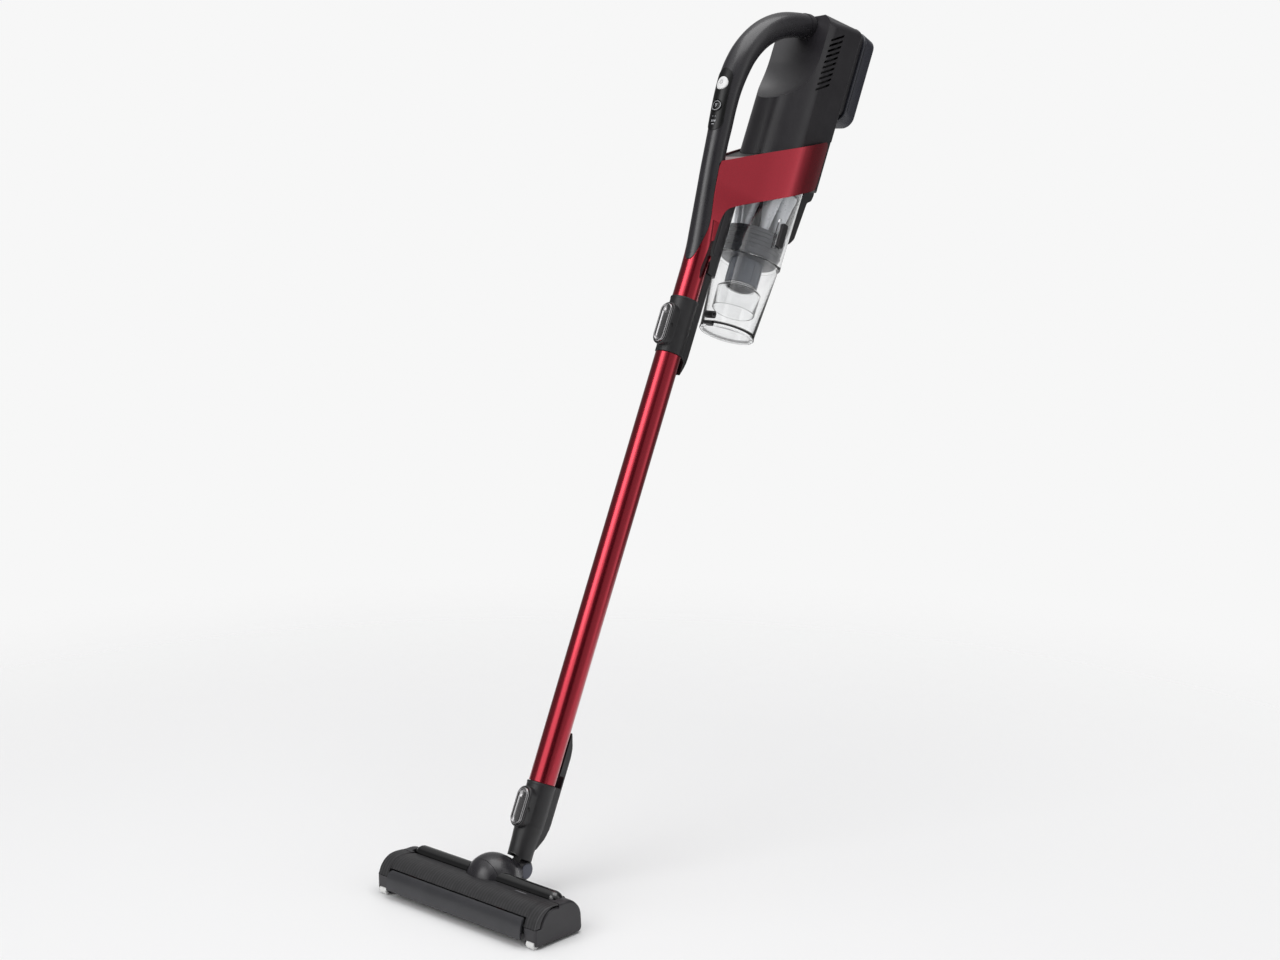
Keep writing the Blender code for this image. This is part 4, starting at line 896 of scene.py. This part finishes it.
def coupler(name, body, t_lo, t_hi, pod, fin, bore, node, extra_cuts, extra_adds=()):
    """Black sleeve with a front pod, a rear fin and a bore; its joins flow like a moulding."""
    pod_t, pod_b, half = pod
    shape = turned([(0.02, t_lo), (14.6, t_lo), (14.6, t_hi), (0.02, t_hi)], "t", ON_PIPE, n=96)
    box, trough = pod_shape(pod_t, pod_b, half)
    back = max(b for b, t in fin)
    envelope = slab(rounded(-10.5, -12, 10.5, back, 6.5, 10), t_lo - CUT, t_hi + CUT, "t")
    blade = keep(slab(fin, -10.5, 10.5, "x"), envelope)
    weld(shape, box, blade, *extra_adds)
    melt(shape, 0.55)
    pin_hole = turned([(1.25, -20), (1.25, 20)], "x", (pod_b + 2.4, pod_t), n=32)
    dents = [turned([(1.9, lo), (1.9, hi)], "x", (pod_b + 2.6, pod_t - 2.0), n=32)
             for lo, hi in ((9.2, 20), (-20, -9.2))]
    carve(shape, pipe_cut(bore, t_lo - CUT, t_hi + CUT), trough, pin_hole, *dents, *extra_cuts)
    piece(shape, name, BLACK, body, "black", node, angle=32)


UP_FIN = [(8, 560), (8, 640.4), (22.6, 640.4), (23.2, 620), (23.5, 600), (23.0, 575), (21.3, 551), (18.6, 540),
          (15.2, 531), (13.95, 527.6), (13.95, 544), (8, 548)]
coupler("upper_coupler_shell", "wand", COUPLER_LO, COUPLER_HI, UP_POD, fillet(UP_FIN, 0.6, 3), 12.0,
        "upper_coupler", (pipe_cut(PIPE_R + 0.3, COUPLER_HI - 0.3, 650),
                          pipe_cut(PIPE_R + 0.1, 500, COUPLER_LO + 0.3)))
piece(sleeve_lip(COUPLER_HI, 14.75, 14.95, 2.6), "upper_coupler_lip", BLACK, "wand", "black")


def rocker(name, body, node, pod_t, pod_b, half):
    """Dark plated rocker: raised rim, hollow face and a thumb dimple at its top."""
    rings = []
    w, h = 7.45, half - 1.9
    levels = [(pod_b + 3.6, 0.75), (pod_b + 1.4, 0.0), (pod_b - 1.2, 0.0), (pod_b - 2.3, 0.5), (pod_b - 2.75, 1.3),
              (pod_b - 2.45, 2.0), (pod_b - 1.7, 2.7), (pod_b - 1.25, 3.8), (pod_b - 1.05, 5.2), (pod_b - 1.0, 7.0)]
    for b, back in flow(levels, 3):
        outline = stadium(0, pod_t, w - back, h - back, 24)
        rings.append([(x, b + 0.35 * ((t - pod_t) / half) ** 2, t) for x, t in outline])
    button = skin(rings)
    dish = [(4.6, pod_b - 12), (4.6, pod_b - 1.3), (3.6, pod_b - 0.7), (2.2, pod_b - 0.3), (0.02, pod_b - 0.1)]
    dimple = turned([(0.02, pod_b - 12)] + dish, "b", (0, pod_t + half - 9.0), n=48)
    carve(button, dimple, turned([(1.3, -20), (1.3, 20)], "x", (pod_b + 2.4, pod_t), n=24))
    piece(button, name, CHROME, body, "chrome", node, edge=0.12, angle=40)


rocker("upper_rocker", "upper_release", "upper_release", *UP_POD)
LOW_FIN = [(13.95, 100), (13.95, 144.5), (16.2, 140.5), (20.5, 131), (24.0, 118), (25.2, 104), (25.3, 90),
           (25.2, 77), (22.2, 77), (20.8, 88), (20.8, 100)]
low_fin = keep(slab(fillet(LOW_FIN, 0.8, 3), -8, 8, "x"), slab(rounded(-8, 5, 8, 25.3, 4.5, 10), 60, 160, "t"))
carve(low_fin, pipe_cut(PIPE_R + 0.06, 60, 160))
piece(low_fin, "lower_fin_shell", BLACK, "wand", "black", "lower_fin", angle=32)

# ================================================================ NECK
AXIS = (0, HINGE_Z)
PITCH_STOP = -15         # degrees at which the neck meets the elbow
ELBOW_Y0, ELBOW_Y1 = -49.7, -26.0


def swell(grow=0.0):
    """Turned outline of the elbow about the roll axis: (radius, y)."""
    places = [ELBOW_Y0 + (ELBOW_Y1 - ELBOW_Y0) * k / 10 for k in range(11)]
    round_part = [(sqrt((DOME_R + grow) ** 2 - (y - DOME_Y) ** 2), y) for y in places]
    tail_end = [(20.8, -21), (18.2, -17.2), (16.4, -14.6), (14.2, -11.6), (11.4, -7)]
    return flow(round_part + [(r + grow, y) for r, y in tail_end], 3)


def elbow_at(pitch):
    """Elbow's body as the pitch joint holds it at an angle, with room around it, to cut out of the neck."""
    at_hinge = Matrix.Translation(Vector((0, 0, HINGE_Z)))
    held = HEAD @ at_hinge @ Matrix.Rotation(radians(pitch), 4, "X") @ at_hinge.inverted()
    return turned([(0.02, ELBOW_Y0)] + swell(0.35) + [(0.02, -7)], "b", AXIS, held, n=96)


hinge = Vector((0, 0, HINGE_Z)) - foot
HINGE_B, HINGE_T = hinge.dot(back_dir), hinge.dot(stick_dir)
AT_HINGE = (HINGE_B, HINGE_T)
# (t, b of the middle, half width across, half width behind) down the neck's tail
TAIL = [(48, 0, 14.5, 14.5), (40, -0.3, 14.0, 14.3), (30, -0.7, 13.0, 13.6), (20, -0.8, 12.7, 13.0),
        (6, -0.4, 12.4, 12.8)]
tail = skin([[(wx * c, mid + wb * s, t) for c, s in arc(72)] for t, mid, wx, wb in flow(TAIL, 4)])
NECK_FIN = [(7, 40), (7, 87.8), (20.4, 87.8), (21.2, 75.4), (23.7, 74.6), (23.4, 66), (22.4, 58), (20.2, 47),
            (15.8, 35), (9.5, 25), (2, 17)]
BALL_ROOM_R = 13.9
places = [(BALL_ROOM_R - 0.02) * sin(radians(a)) for a in range(-90, 91, 6)]
ball_room = turned([(sqrt(max(BALL_ROOM_R ** 2 - x * x, 0.04)), x) for x in places], "x", AT_HINGE, n=72)
neck_cut = slab([(-40, 12.2), (-9, 11.8), (-2, 11.4), (4, 10.8), (9, 9.8), (14, 8.8), (40, 8.2), (40, -30),
                 (-40, -30)], -40, 40, "x")
coupler("neck_shell", "neck", 44, NECK_TOP, LO_POD, fillet(NECK_FIN, 0.6, 3), 11.0, "neck",
        (neck_cut, ball_room, elbow_at(PITCH_STOP), elbow_at(PITCH_STOP / 2)), (tail,))
TONGUE = [(-3, 30), (11, 30), (HINGE_B + 9, HINGE_T + 2), (HINGE_B + 5, HINGE_T - 7), (HINGE_B - 5, HINGE_T - 7),
          (HINGE_B - 9, HINGE_T + 2)]
tongue = slab(fillet(TONGUE, 3, 5), -5.2, 5.2, "x", 0.4)
carve(tongue, turned([(3.05, -20), (3.05, 20)], "x", AT_HINGE, n=48))
piece(tongue, "neck_tongue", BLACK, "neck", "black")
spigot = turned([(11.9, 80), (11.9, 120), (9.5, 120), (9.5, 80)], "t", ON_PIPE, tube=True, r=0.4)
piece(spigot, "neck_spigot", BLACK, "neck", "black")
piece(sleeve_lip(NECK_TOP, 14.8, 15.0, 2.4), "neck_lip", BLACK, "neck", "black")
rocker("lower_rocker", "lower_release", "lower_release", *LO_POD)


# ================================================================ ELBOW AND HEAD
BARREL_R, BARREL_HALF = 12.8, 9.8


def head_turned(profile, axis, at, n=96, **more):
    """Turned body placed in the head's frame."""
    return turned(profile, axis, at, HEAD, n, **more)


def head_across(profile, place, n=48, **more):
    """Turned body on a line across the head, at (y, z)."""
    return head_turned(profile, "x", place, n, **more)


elbow = head_turned([(0.02, ELBOW_Y0)] + swell() + [(0.02, -7)], "b", AXIS)
places = [-BARREL_HALF + 0.7 * k for k in range(29)]
barrel = [(sqrt(BARREL_R ** 2 - x * x), x) for x in places]
weld(elbow, head_across([(0.02, -BARREL_HALF)] + barrel + [(0.02, BARREL_HALF)], AXIS, 96))
slot_shape = [(11.2 * c, HINGE_Z + 11.2 * s) for c, s in arc(25, pi, radians(120))] + \
    [(40, HINGE_Z - 9.7), (40, HINGE_Z + 40), (-11.2, HINGE_Z + 40)]
carve(elbow, solid_box((-60, -70, -20), (60, -12.8, HINGE_Z - 12), HEAD),
      slab(slot_shape, -5.6, 5.6, "x", 0, HEAD), head_across([(2.95, -30), (2.95, 30)], AXIS),
      head_turned([(9, -60), (9, -15)], "b", (0, HINGE_Z + 2), 48))
piece(elbow, "elbow_ball", CHARCOAL_SATIN, "elbow", "charcoal", "elbow", edge=0.3)
CAP = [(0.02, 9.9), (7.6, 9.9), (7.5, 10.5), (6.6, 10.95), (3.0, 11.1), (0.02, 11.1)]
# the discs' lighter bluish colour is a painted reflection
for side, name in SIDES:
    cap = head_across([(r, side * x) for r, x in CAP], AXIS, 72, r=0.5)
    piece(cap, "hinge_disc_" + name, HINGE_DISC_PAINTED_SHEEN, "elbow", "slate", "hinge_cap_" + name)

# dome cap over the front of the elbow
def dome_curve(r, angles):
    """Round outline about the dome's middle: (radius, y)."""
    return [(r * sin(radians(a)), DOME_Y - r * cos(radians(a))) for a in angles]


DOME_BACK, DOME_IN_R = -50.1, 24.8
dome_out = [(0.02, DOME_Y - DOME_R)] + dome_curve(DOME_R, range(4, 62, 3))
dome_rim = [(sqrt(DOME_R ** 2 - (DOME_BACK - DOME_Y) ** 2), DOME_BACK)]
dome_in = dome_curve(DOME_IN_R, range(56, 3, -4)) + [(0.02, DOME_Y - DOME_IN_R)]
dome = head_turned(dome_out + dome_rim + dome_in, "b", AXIS, 128)
carve(dome, solid_box((-60, -90, -20), (60, -40, 33.4), HEAD))
piece(dome, "dome_front", CHARCOAL_SATIN, "head", "charcoal", "dome_cap", edge=0.25)


def clearance(grow):
    """Room for the elbow, above the sole."""
    outline = [(0.02, -50.0), (23.6 + grow, -50.0)] + swell(grow)[1:] + [(13 + grow, 10), (0.02, 10)]
    return keep(head_turned(outline, "b", AXIS), solid_box((-60, -90, 5.2), (60, 40, 90), HEAD))


def dome_room(grow):
    """Room for the dome."""
    r = DOME_R + grow
    outline = [(0.02, DOME_Y - r)] + dome_curve(r, range(4, 66, 4)) + [(0.02, DOME_Y - r * cos(radians(62)))]
    return head_turned(outline, "b", AXIS)


# ribbed cover with a rounded front; its ends run into the end caps
COVER = flow([(-85.6, 28.2), (-82.5, 32.4), (-77.5, 35.8), (-71.5, 37.5), (-65, 37.6), (-59, 36.6),
              (-53.6, 35.4)], 5)
COVER_IN = flow([(-53.6, 33.4), (-59, 34.6), (-65, 35.6), (-71.5, 35.5), (-77, 33.9), (-81, 31.0),
                 (-84, 27.4)], 5)
cover = slab(COVER + COVER_IN, -95.4, 95.4, "x", 0, HEAD)
carve(cover, dome_room(0.4))
piece(cover, "cover_ribbed", RIBBED, "head", "charcoal", "top_cover", edge=0.35, angle=32)
mark = slab(rounded(55, -60.6, 69, -59.4, 0.5, 4), 36.2, 36.95, "t", 0.1, HEAD)
piece(mark, "cover_mark", MARK, "head", "charcoal")
BAR = flow([(-53.2, 34.4), (-52.8, 36.6), (-51.3, 39.0), (-48.8, 40.8), (-45.4, 41.6), (-42.0, 41.0),
            (-39.0, 38.9), (-37.2, 36.4), (-36.4, 33.6)], 4)
BAR_LOW, BAR_MIDDLE = 32.2, -45
bar_outline = [(-53.2, BAR_LOW)] + BAR + [(-36.4, BAR_LOW)]
for side, name in SIDES:
    rings = [[(side * 8, y, z) for y, z in bar_outline]]
    for k in range(17):
        a = pi / 2 * k / 16
        x, pull = 91 + 9 * sin(a), 1 - cos(a)
        rings.append([(side * x, y + (BAR_MIDDLE - y) * 0.8 * pull, z + (BAR_LOW - z) * 0.96 * pull)
                      for y, z in bar_outline])
    half = skin(rings, HEAD)
    carve(half, clearance(0.5), dome_room(0.4))
    piece(half, "back_bar_gloss_" + name, GLOSS, "head", "gloss_black", "back_bar_" + name, angle=50)

FLAP = flow([(-94, 8.2), (-93.6, 14), (-92.6, 20), (-91.0, 24.2), (-89.2, 26.6), (-87.6, 27.7)], 4)
FLAP_IN = flow([(-86.0, 27.0), (-87.6, 25.2), (-89.6, 22), (-91.2, 17), (-92.2, 8.2)], 4)
FLAP_HALF = 93.8
flap = keep(slab(FLAP + FLAP_IN, -FLAP_HALF, FLAP_HALF, "x", 0, HEAD),
            slab(rounded(-FLAP_HALF, -20, FLAP_HALF, 28.2, 5.5, 8), -100, -80, "b", 0, HEAD))
piece(flap, "front_flap_smooth", FLAP_SATIN, "front_flap", "charcoal", "front_flap", edge=0.5, angle=32)

# end caps: a plain panel, and the cover's end arching over it
END = fillet([(-84, 2.4), (-88.6, 2.6), (-90.0, 6.0), (-90.2, 20.0), (-86.6, 28.4), (-81.5, 33.8), (-75.5, 37.0),
              (-68, 38.0), (-60, 37.4), (-53, 36.8), (-47, 37.0), (-41, 36.2), (-35, 32.5), (-29.6, 26.5),
              (-27.4, 20), (-26.6, 4), (-29, 1.2)], 3.0, 5)
WHEEL = (-86.6, 4.5)
REAR_WHEEL, REAR_WHEEL_X = (-34, 3.9), 62
ROLLER = (ROLLER_Y, ROLLER_Z)
ARCH = (-64.5, 17.6)
SEAM_Z, SEAM_GAP = 20.2, 0.3


def arch(r, first):
    """Arch between the panel and the cover's end."""
    return [(ARCH[0] - r * cos(radians(a)), ARCH[1] + r * sin(radians(a))) for a in range(first, 112, 6)]


front = [p for p in END if p[0] <= -56.5 and p[1] < SEAM_Z - SEAM_GAP]
PANEL = [p for p in front if p[0] > WHEEL[0] and p[1] < 4] + [p for p in front if p[0] <= WHEEL[0]] + \
    [(-90.15, SEAM_Z - SEAM_GAP), (-83.2, SEAM_Z - SEAM_GAP)] + arch(17.8, 9) + [(-57.0, 37.1)] + \
    [p for p in END if p[0] > -56.5]
OVER = [(-90.15, SEAM_Z + SEAM_GAP)] + [p for p in END if p[0] <= -58.2 and p[1] > SEAM_Z + 0.5] + [(-58.2, 37.2)]
OVER_IN = arch(19.1, 10)[::-1]


def shrink(outline, centre, d, reach):
    """Outline pulled towards a centre by about d at the given reach."""
    kp, kq = 1 - d / reach[0], 1 - d / reach[1]
    return [(centre[0] + (p - centre[0]) * kp, centre[1] + (q - centre[1]) * kq) for p, q in outline]


TYRE = [(1.5, 98.4), (3.7, 98.4), (4.3, 99.2), (4.3, 107.4), (3.7, 108.2), (1.5, 108.2)]
TURNS = [pi / 2 * k / 8 for k in range(9)]
END_IN = 95.8
for side, name in SIDES:
    end_rings = [[(side * END_IN, y, z) for y, z in PANEL]]
    over_rings = [[(side * END_IN, y, z) for y, z in OVER + OVER_IN]]
    for a in TURNS:
        plan = shrink(PANEL, (-59, 19), 2.4 * (1 - cos(a)), (32, 19))
        end_rings.append([(side * (107.2 + 3.8 * sin(a)), y, z) for y, z in plan])
        plan = shrink(OVER, ARCH, 1.5 * (1 - cos(a)), (22, 20)) + OVER_IN
        over_rings.append([(side * (108.2 + 2.2 * sin(a)), y, z) for y, z in plan])
    end = skin(end_rings, HEAD)
    piece(skin(over_rings, HEAD), "cover_end_" + name, RIBBED, "head", "charcoal", edge=0.2, angle=35)
    carve(end, slab([(-53.6, 31.8), (-53.6, 60), (-36.0, 60), (-36.0, 31.8)], *span(side, 90, 100.4), "x", 0, HEAD),
          head_across([(4.8, side * 97.6), (4.8, side * 109.0)], WHEEL),
          solid_box((side * 103.3 - 5.7, -100, -10), (side * 103.3 + 5.7, WHEEL[0], 8), HEAD),
          head_across([(2.3, side * 90), (2.3, side * 101)], ROLLER, 32))
    weld(end, head_across([(1.2, side * 95.9), (1.2, side * 110.2)], WHEEL, 32))
    piece(end, "end_cap_shell_" + name, CHARCOAL, "head", "charcoal", "end_cap_" + name, edge=0.35, angle=35)
    tyre = head_across([(r, side * x) for r, x in TYRE], WHEEL, 64, tube=True, r=0.5)
    piece(tyre, "front_wheel_" + name, ROLLER_WHITE, "front_roller_" + name, "white", "front_roller_" + name)
    x0, x1 = side * REAR_WHEEL_X - 5.6, side * REAR_WHEEL_X + 5.6
    wheel = head_across([(1.5, x0), (3.8, x0), (3.8, x1), (1.5, x1)], REAR_WHEEL, 64, tube=True, r=0.6)
    piece(wheel, "rear_wheel_" + name, RUBBER, "rear_roller_" + name, "rubber", "rear_roller_" + name)

# brush roller: core, and tufted strips in a double helix
core = head_across([(0.02, -99.0), (2.0, -99.0), (2.0, -94.4), (7.4, -94.4), (7.4, 82.0), (3, 82.0), (3, 84.0),
                    (0.02, 84)], ROLLER, 64, r=0.3)
piece(core, "brush_core_tube", GREY, "brush", "grey", "brush_core")


def strip(start, width, tip, material, name):
    """One bristle strip that winds towards the middle from both ends, with a tufted edge."""
    bm = bmesh.new()
    rows = []
    steps = 176
    for i in range(steps + 1):
        x = -93.4 + 174.6 * i / steps
        twist = start + radians(120) * abs(i - steps / 2) / (steps / 2)
        wobble = 0.35 * sin(i * 2.4) + 0.2 * sin(i * 5.3)
        peak = tip + wobble
        row = []
        for r, off in ((7.2, -width), (peak - 0.6, -width * 1.15), (peak, 0), (peak - 0.6, width * 1.15),
                       (7.2, width)):
            a = twist + off / r
            row.append(bm.verts.new(HEAD @ Vector((x, ROLLER_Y + r * cos(a), ROLLER_Z + r * sin(a)))))
        rows.append(row)
    for a, b in zip(rows, rows[1:]):
        for k in range(5):
            bm.faces.new((a[k], a[(k + 1) % 5], b[(k + 1) % 5], b[k]))
    bm.faces.new(rows[0])
    bm.faces.new(rows[-1])
    piece(finish_mesh(bm), name, material, "brush", "bristle")


# (half width, tip radius, material), by turns
STRIPS = ((2.0, 13.4, BRISTLE_SOFT), (1.5, 14.0, BRISTLE))
for k in range(6):
    strip(2 * pi * k / 6, *STRIPS[k % 2], "bristle_strip_%d" % k)
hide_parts("brush_bristles")


# ================================================================ STUDIO
def floor_material():
    """Pale floor that fades out into the backdrop."""
    g = Graph("pale_floor")
    g.shader.inputs["Base Color"].default_value = (0.86, 0.86, 0.865, 1)
    g.shader.inputs["Roughness"].default_value = 0.55
    g.shader.inputs["Specular IOR Level"].default_value = 0.25
    length = g.add("ShaderNodeVectorMath", operation="LENGTH")
    g.link(g.where, length.inputs[0])
    fade = g.spread(length.outputs["Value"], 0, 1, 0.55, 1.5, interpolation_type="SMOOTHSTEP")
    g.link(g.switch(fade, g.shader.outputs[0], g.add("ShaderNodeBsdfTransparent").outputs[0]), g.surface)
    return g.mat


bm = bmesh.new()
bmesh.ops.create_circle(bm, cap_ends=True, radius=2.2, segments=96)
floor_mesh = bpy.data.meshes.new("floor")
bm.to_mesh(floor_mesh)
bm.free()
floor = bpy.data.objects.new("floor", floor_mesh)
bpy.context.scene.collection.objects.link(floor)
floor.location = HEAD.to_translation()
floor.data.materials.append(floor_material())


BACKDROP = 0.93
WORLD_GAIN = 1.9
TOP_LEVEL = 0.5
CAMERA_TURN = -48.3      # direction of the camera from the object, degrees from +X towards +Y
# light levels round the studio: (degrees from the camera direction, level)
AROUND = [(-180, 0.22), (-110, 0.08), (-74, 0.12), (-58, 0.85), (-26, 0.90), (-13, 0.05), (14, 0.02), (26, 0.20),
          (60, 0.24), (72, 0.40), (84, 0.62), (94, 0.16), (106, 0.06), (125, 0.08)]


def studio_stops():
    """Light levels in world directions, from -180 to 180 degrees."""
    stops = sorted(((a + CAMERA_TURN + 180) % 360 - 180, level) for a, level in AROUND)
    return [(-180.0, stops[0][1])] + stops + [(180.0, stops[0][1])]


def studio_world():
    """Soft studio: bright panels left and right of a dark gap; a plain pale backdrop for the camera."""
    world = bpy.data.worlds.new("studio")
    bpy.context.scene.world = world
    world.use_nodes = True
    world.node_tree.nodes.clear()
    g = Tree(world.node_tree)
    parts = g.add("ShaderNodeSeparateXYZ")
    g.link(g.add("ShaderNodeTexCoord").outputs["Generated"], parts.inputs[0])
    turn = g.add("ShaderNodeMath", operation="ARCTAN2")
    g.link(parts.outputs["Y"], turn.inputs[0])
    g.link(parts.outputs["X"], turn.inputs[1])
    ramp = g.add("ShaderNodeValToRGB")
    ramp.color_ramp.interpolation = "EASE"
    stops = studio_stops()
    while len(ramp.color_ramp.elements) < len(stops):
        ramp.color_ramp.elements.new(0.5)
    for element, (angle, level) in zip(ramp.color_ramp.elements, stops):
        element.position = (angle + 180) / 360
        element.color = (level, level, level, 1)
    g.link(g.spread(turn.outputs[0], 0, 1, -pi, pi), ramp.inputs["Fac"])
    mix = g.add("ShaderNodeMix", data_type="RGBA")
    g.link(g.spread(parts.outputs["Z"], 0, 1, 0.55, 0.95, interpolation_type="SMOOTHSTEP"), mix.inputs["Factor"])
    g.link(ramp.outputs["Color"], mix.inputs["A"])
    mix.inputs["B"].default_value = (TOP_LEVEL, TOP_LEVEL, TOP_LEVEL, 1)
    light = g.add("ShaderNodeBackground")
    light.inputs["Strength"].default_value = WORLD_GAIN
    g.link(mix.outputs["Result"], light.inputs["Color"])
    plain = g.add("ShaderNodeBackground")
    plain.inputs["Color"].default_value = (BACKDROP, BACKDROP, BACKDROP, 1)
    path = g.add("ShaderNodeLightPath")
    seen = g.add("ShaderNodeMath", operation="MAXIMUM")
    g.link(path.outputs["Is Camera Ray"], seen.inputs[0])
    g.link(path.outputs["Is Transmission Ray"], seen.inputs[1])
    out = g.add("ShaderNodeOutputWorld")
    g.link(g.switch(seen.outputs[0], light.outputs[0], plain.outputs[0]), out.inputs["Surface"])


studio_world()


def softbox(name, place, target, width, power):
    """Square area light that faces the target."""
    data = bpy.data.lights.new(name, "AREA")
    data.shape, data.size, data.size_y, data.energy = "RECTANGLE", width, width, power
    lamp = bpy.data.objects.new(name, data)
    bpy.context.scene.collection.objects.link(lamp)
    lamp.location = place
    lamp.rotation_euler = (target - place).to_track_quat("-Z", "Y").to_euler()


middle = Vector((0, -0.12, -0.4))
softbox("key_panel", middle + Vector((-0.55, -2.4, 1.7)), middle, 1.5, 16)
softbox("top_panel", middle + Vector((0.3, 0.3, 2.5)), middle, 2.2, 34)

# the camera fitted to the photograph: millimetres of lens, metres of place, degrees down and round
LENS, SENSOR = 55.41, 36.0
CAMERA_AT, CAMERA_DOWN, CAMERA_ROUND = (1.3335, -1.67556, -0.10424), 9.682, 41.719
camera_data = bpy.data.cameras.new("camera")
camera_data.lens, camera_data.sensor_width = LENS, SENSOR
camera = bpy.data.objects.new("camera", camera_data)
bpy.context.scene.collection.objects.link(camera)
camera.location = CAMERA_AT
camera.rotation_euler = (radians(90 - CAMERA_DOWN), 0, radians(CAMERA_ROUND))
bpy.context.scene.camera = camera
bpy.context.scene.view_settings.view_transform = "Standard"
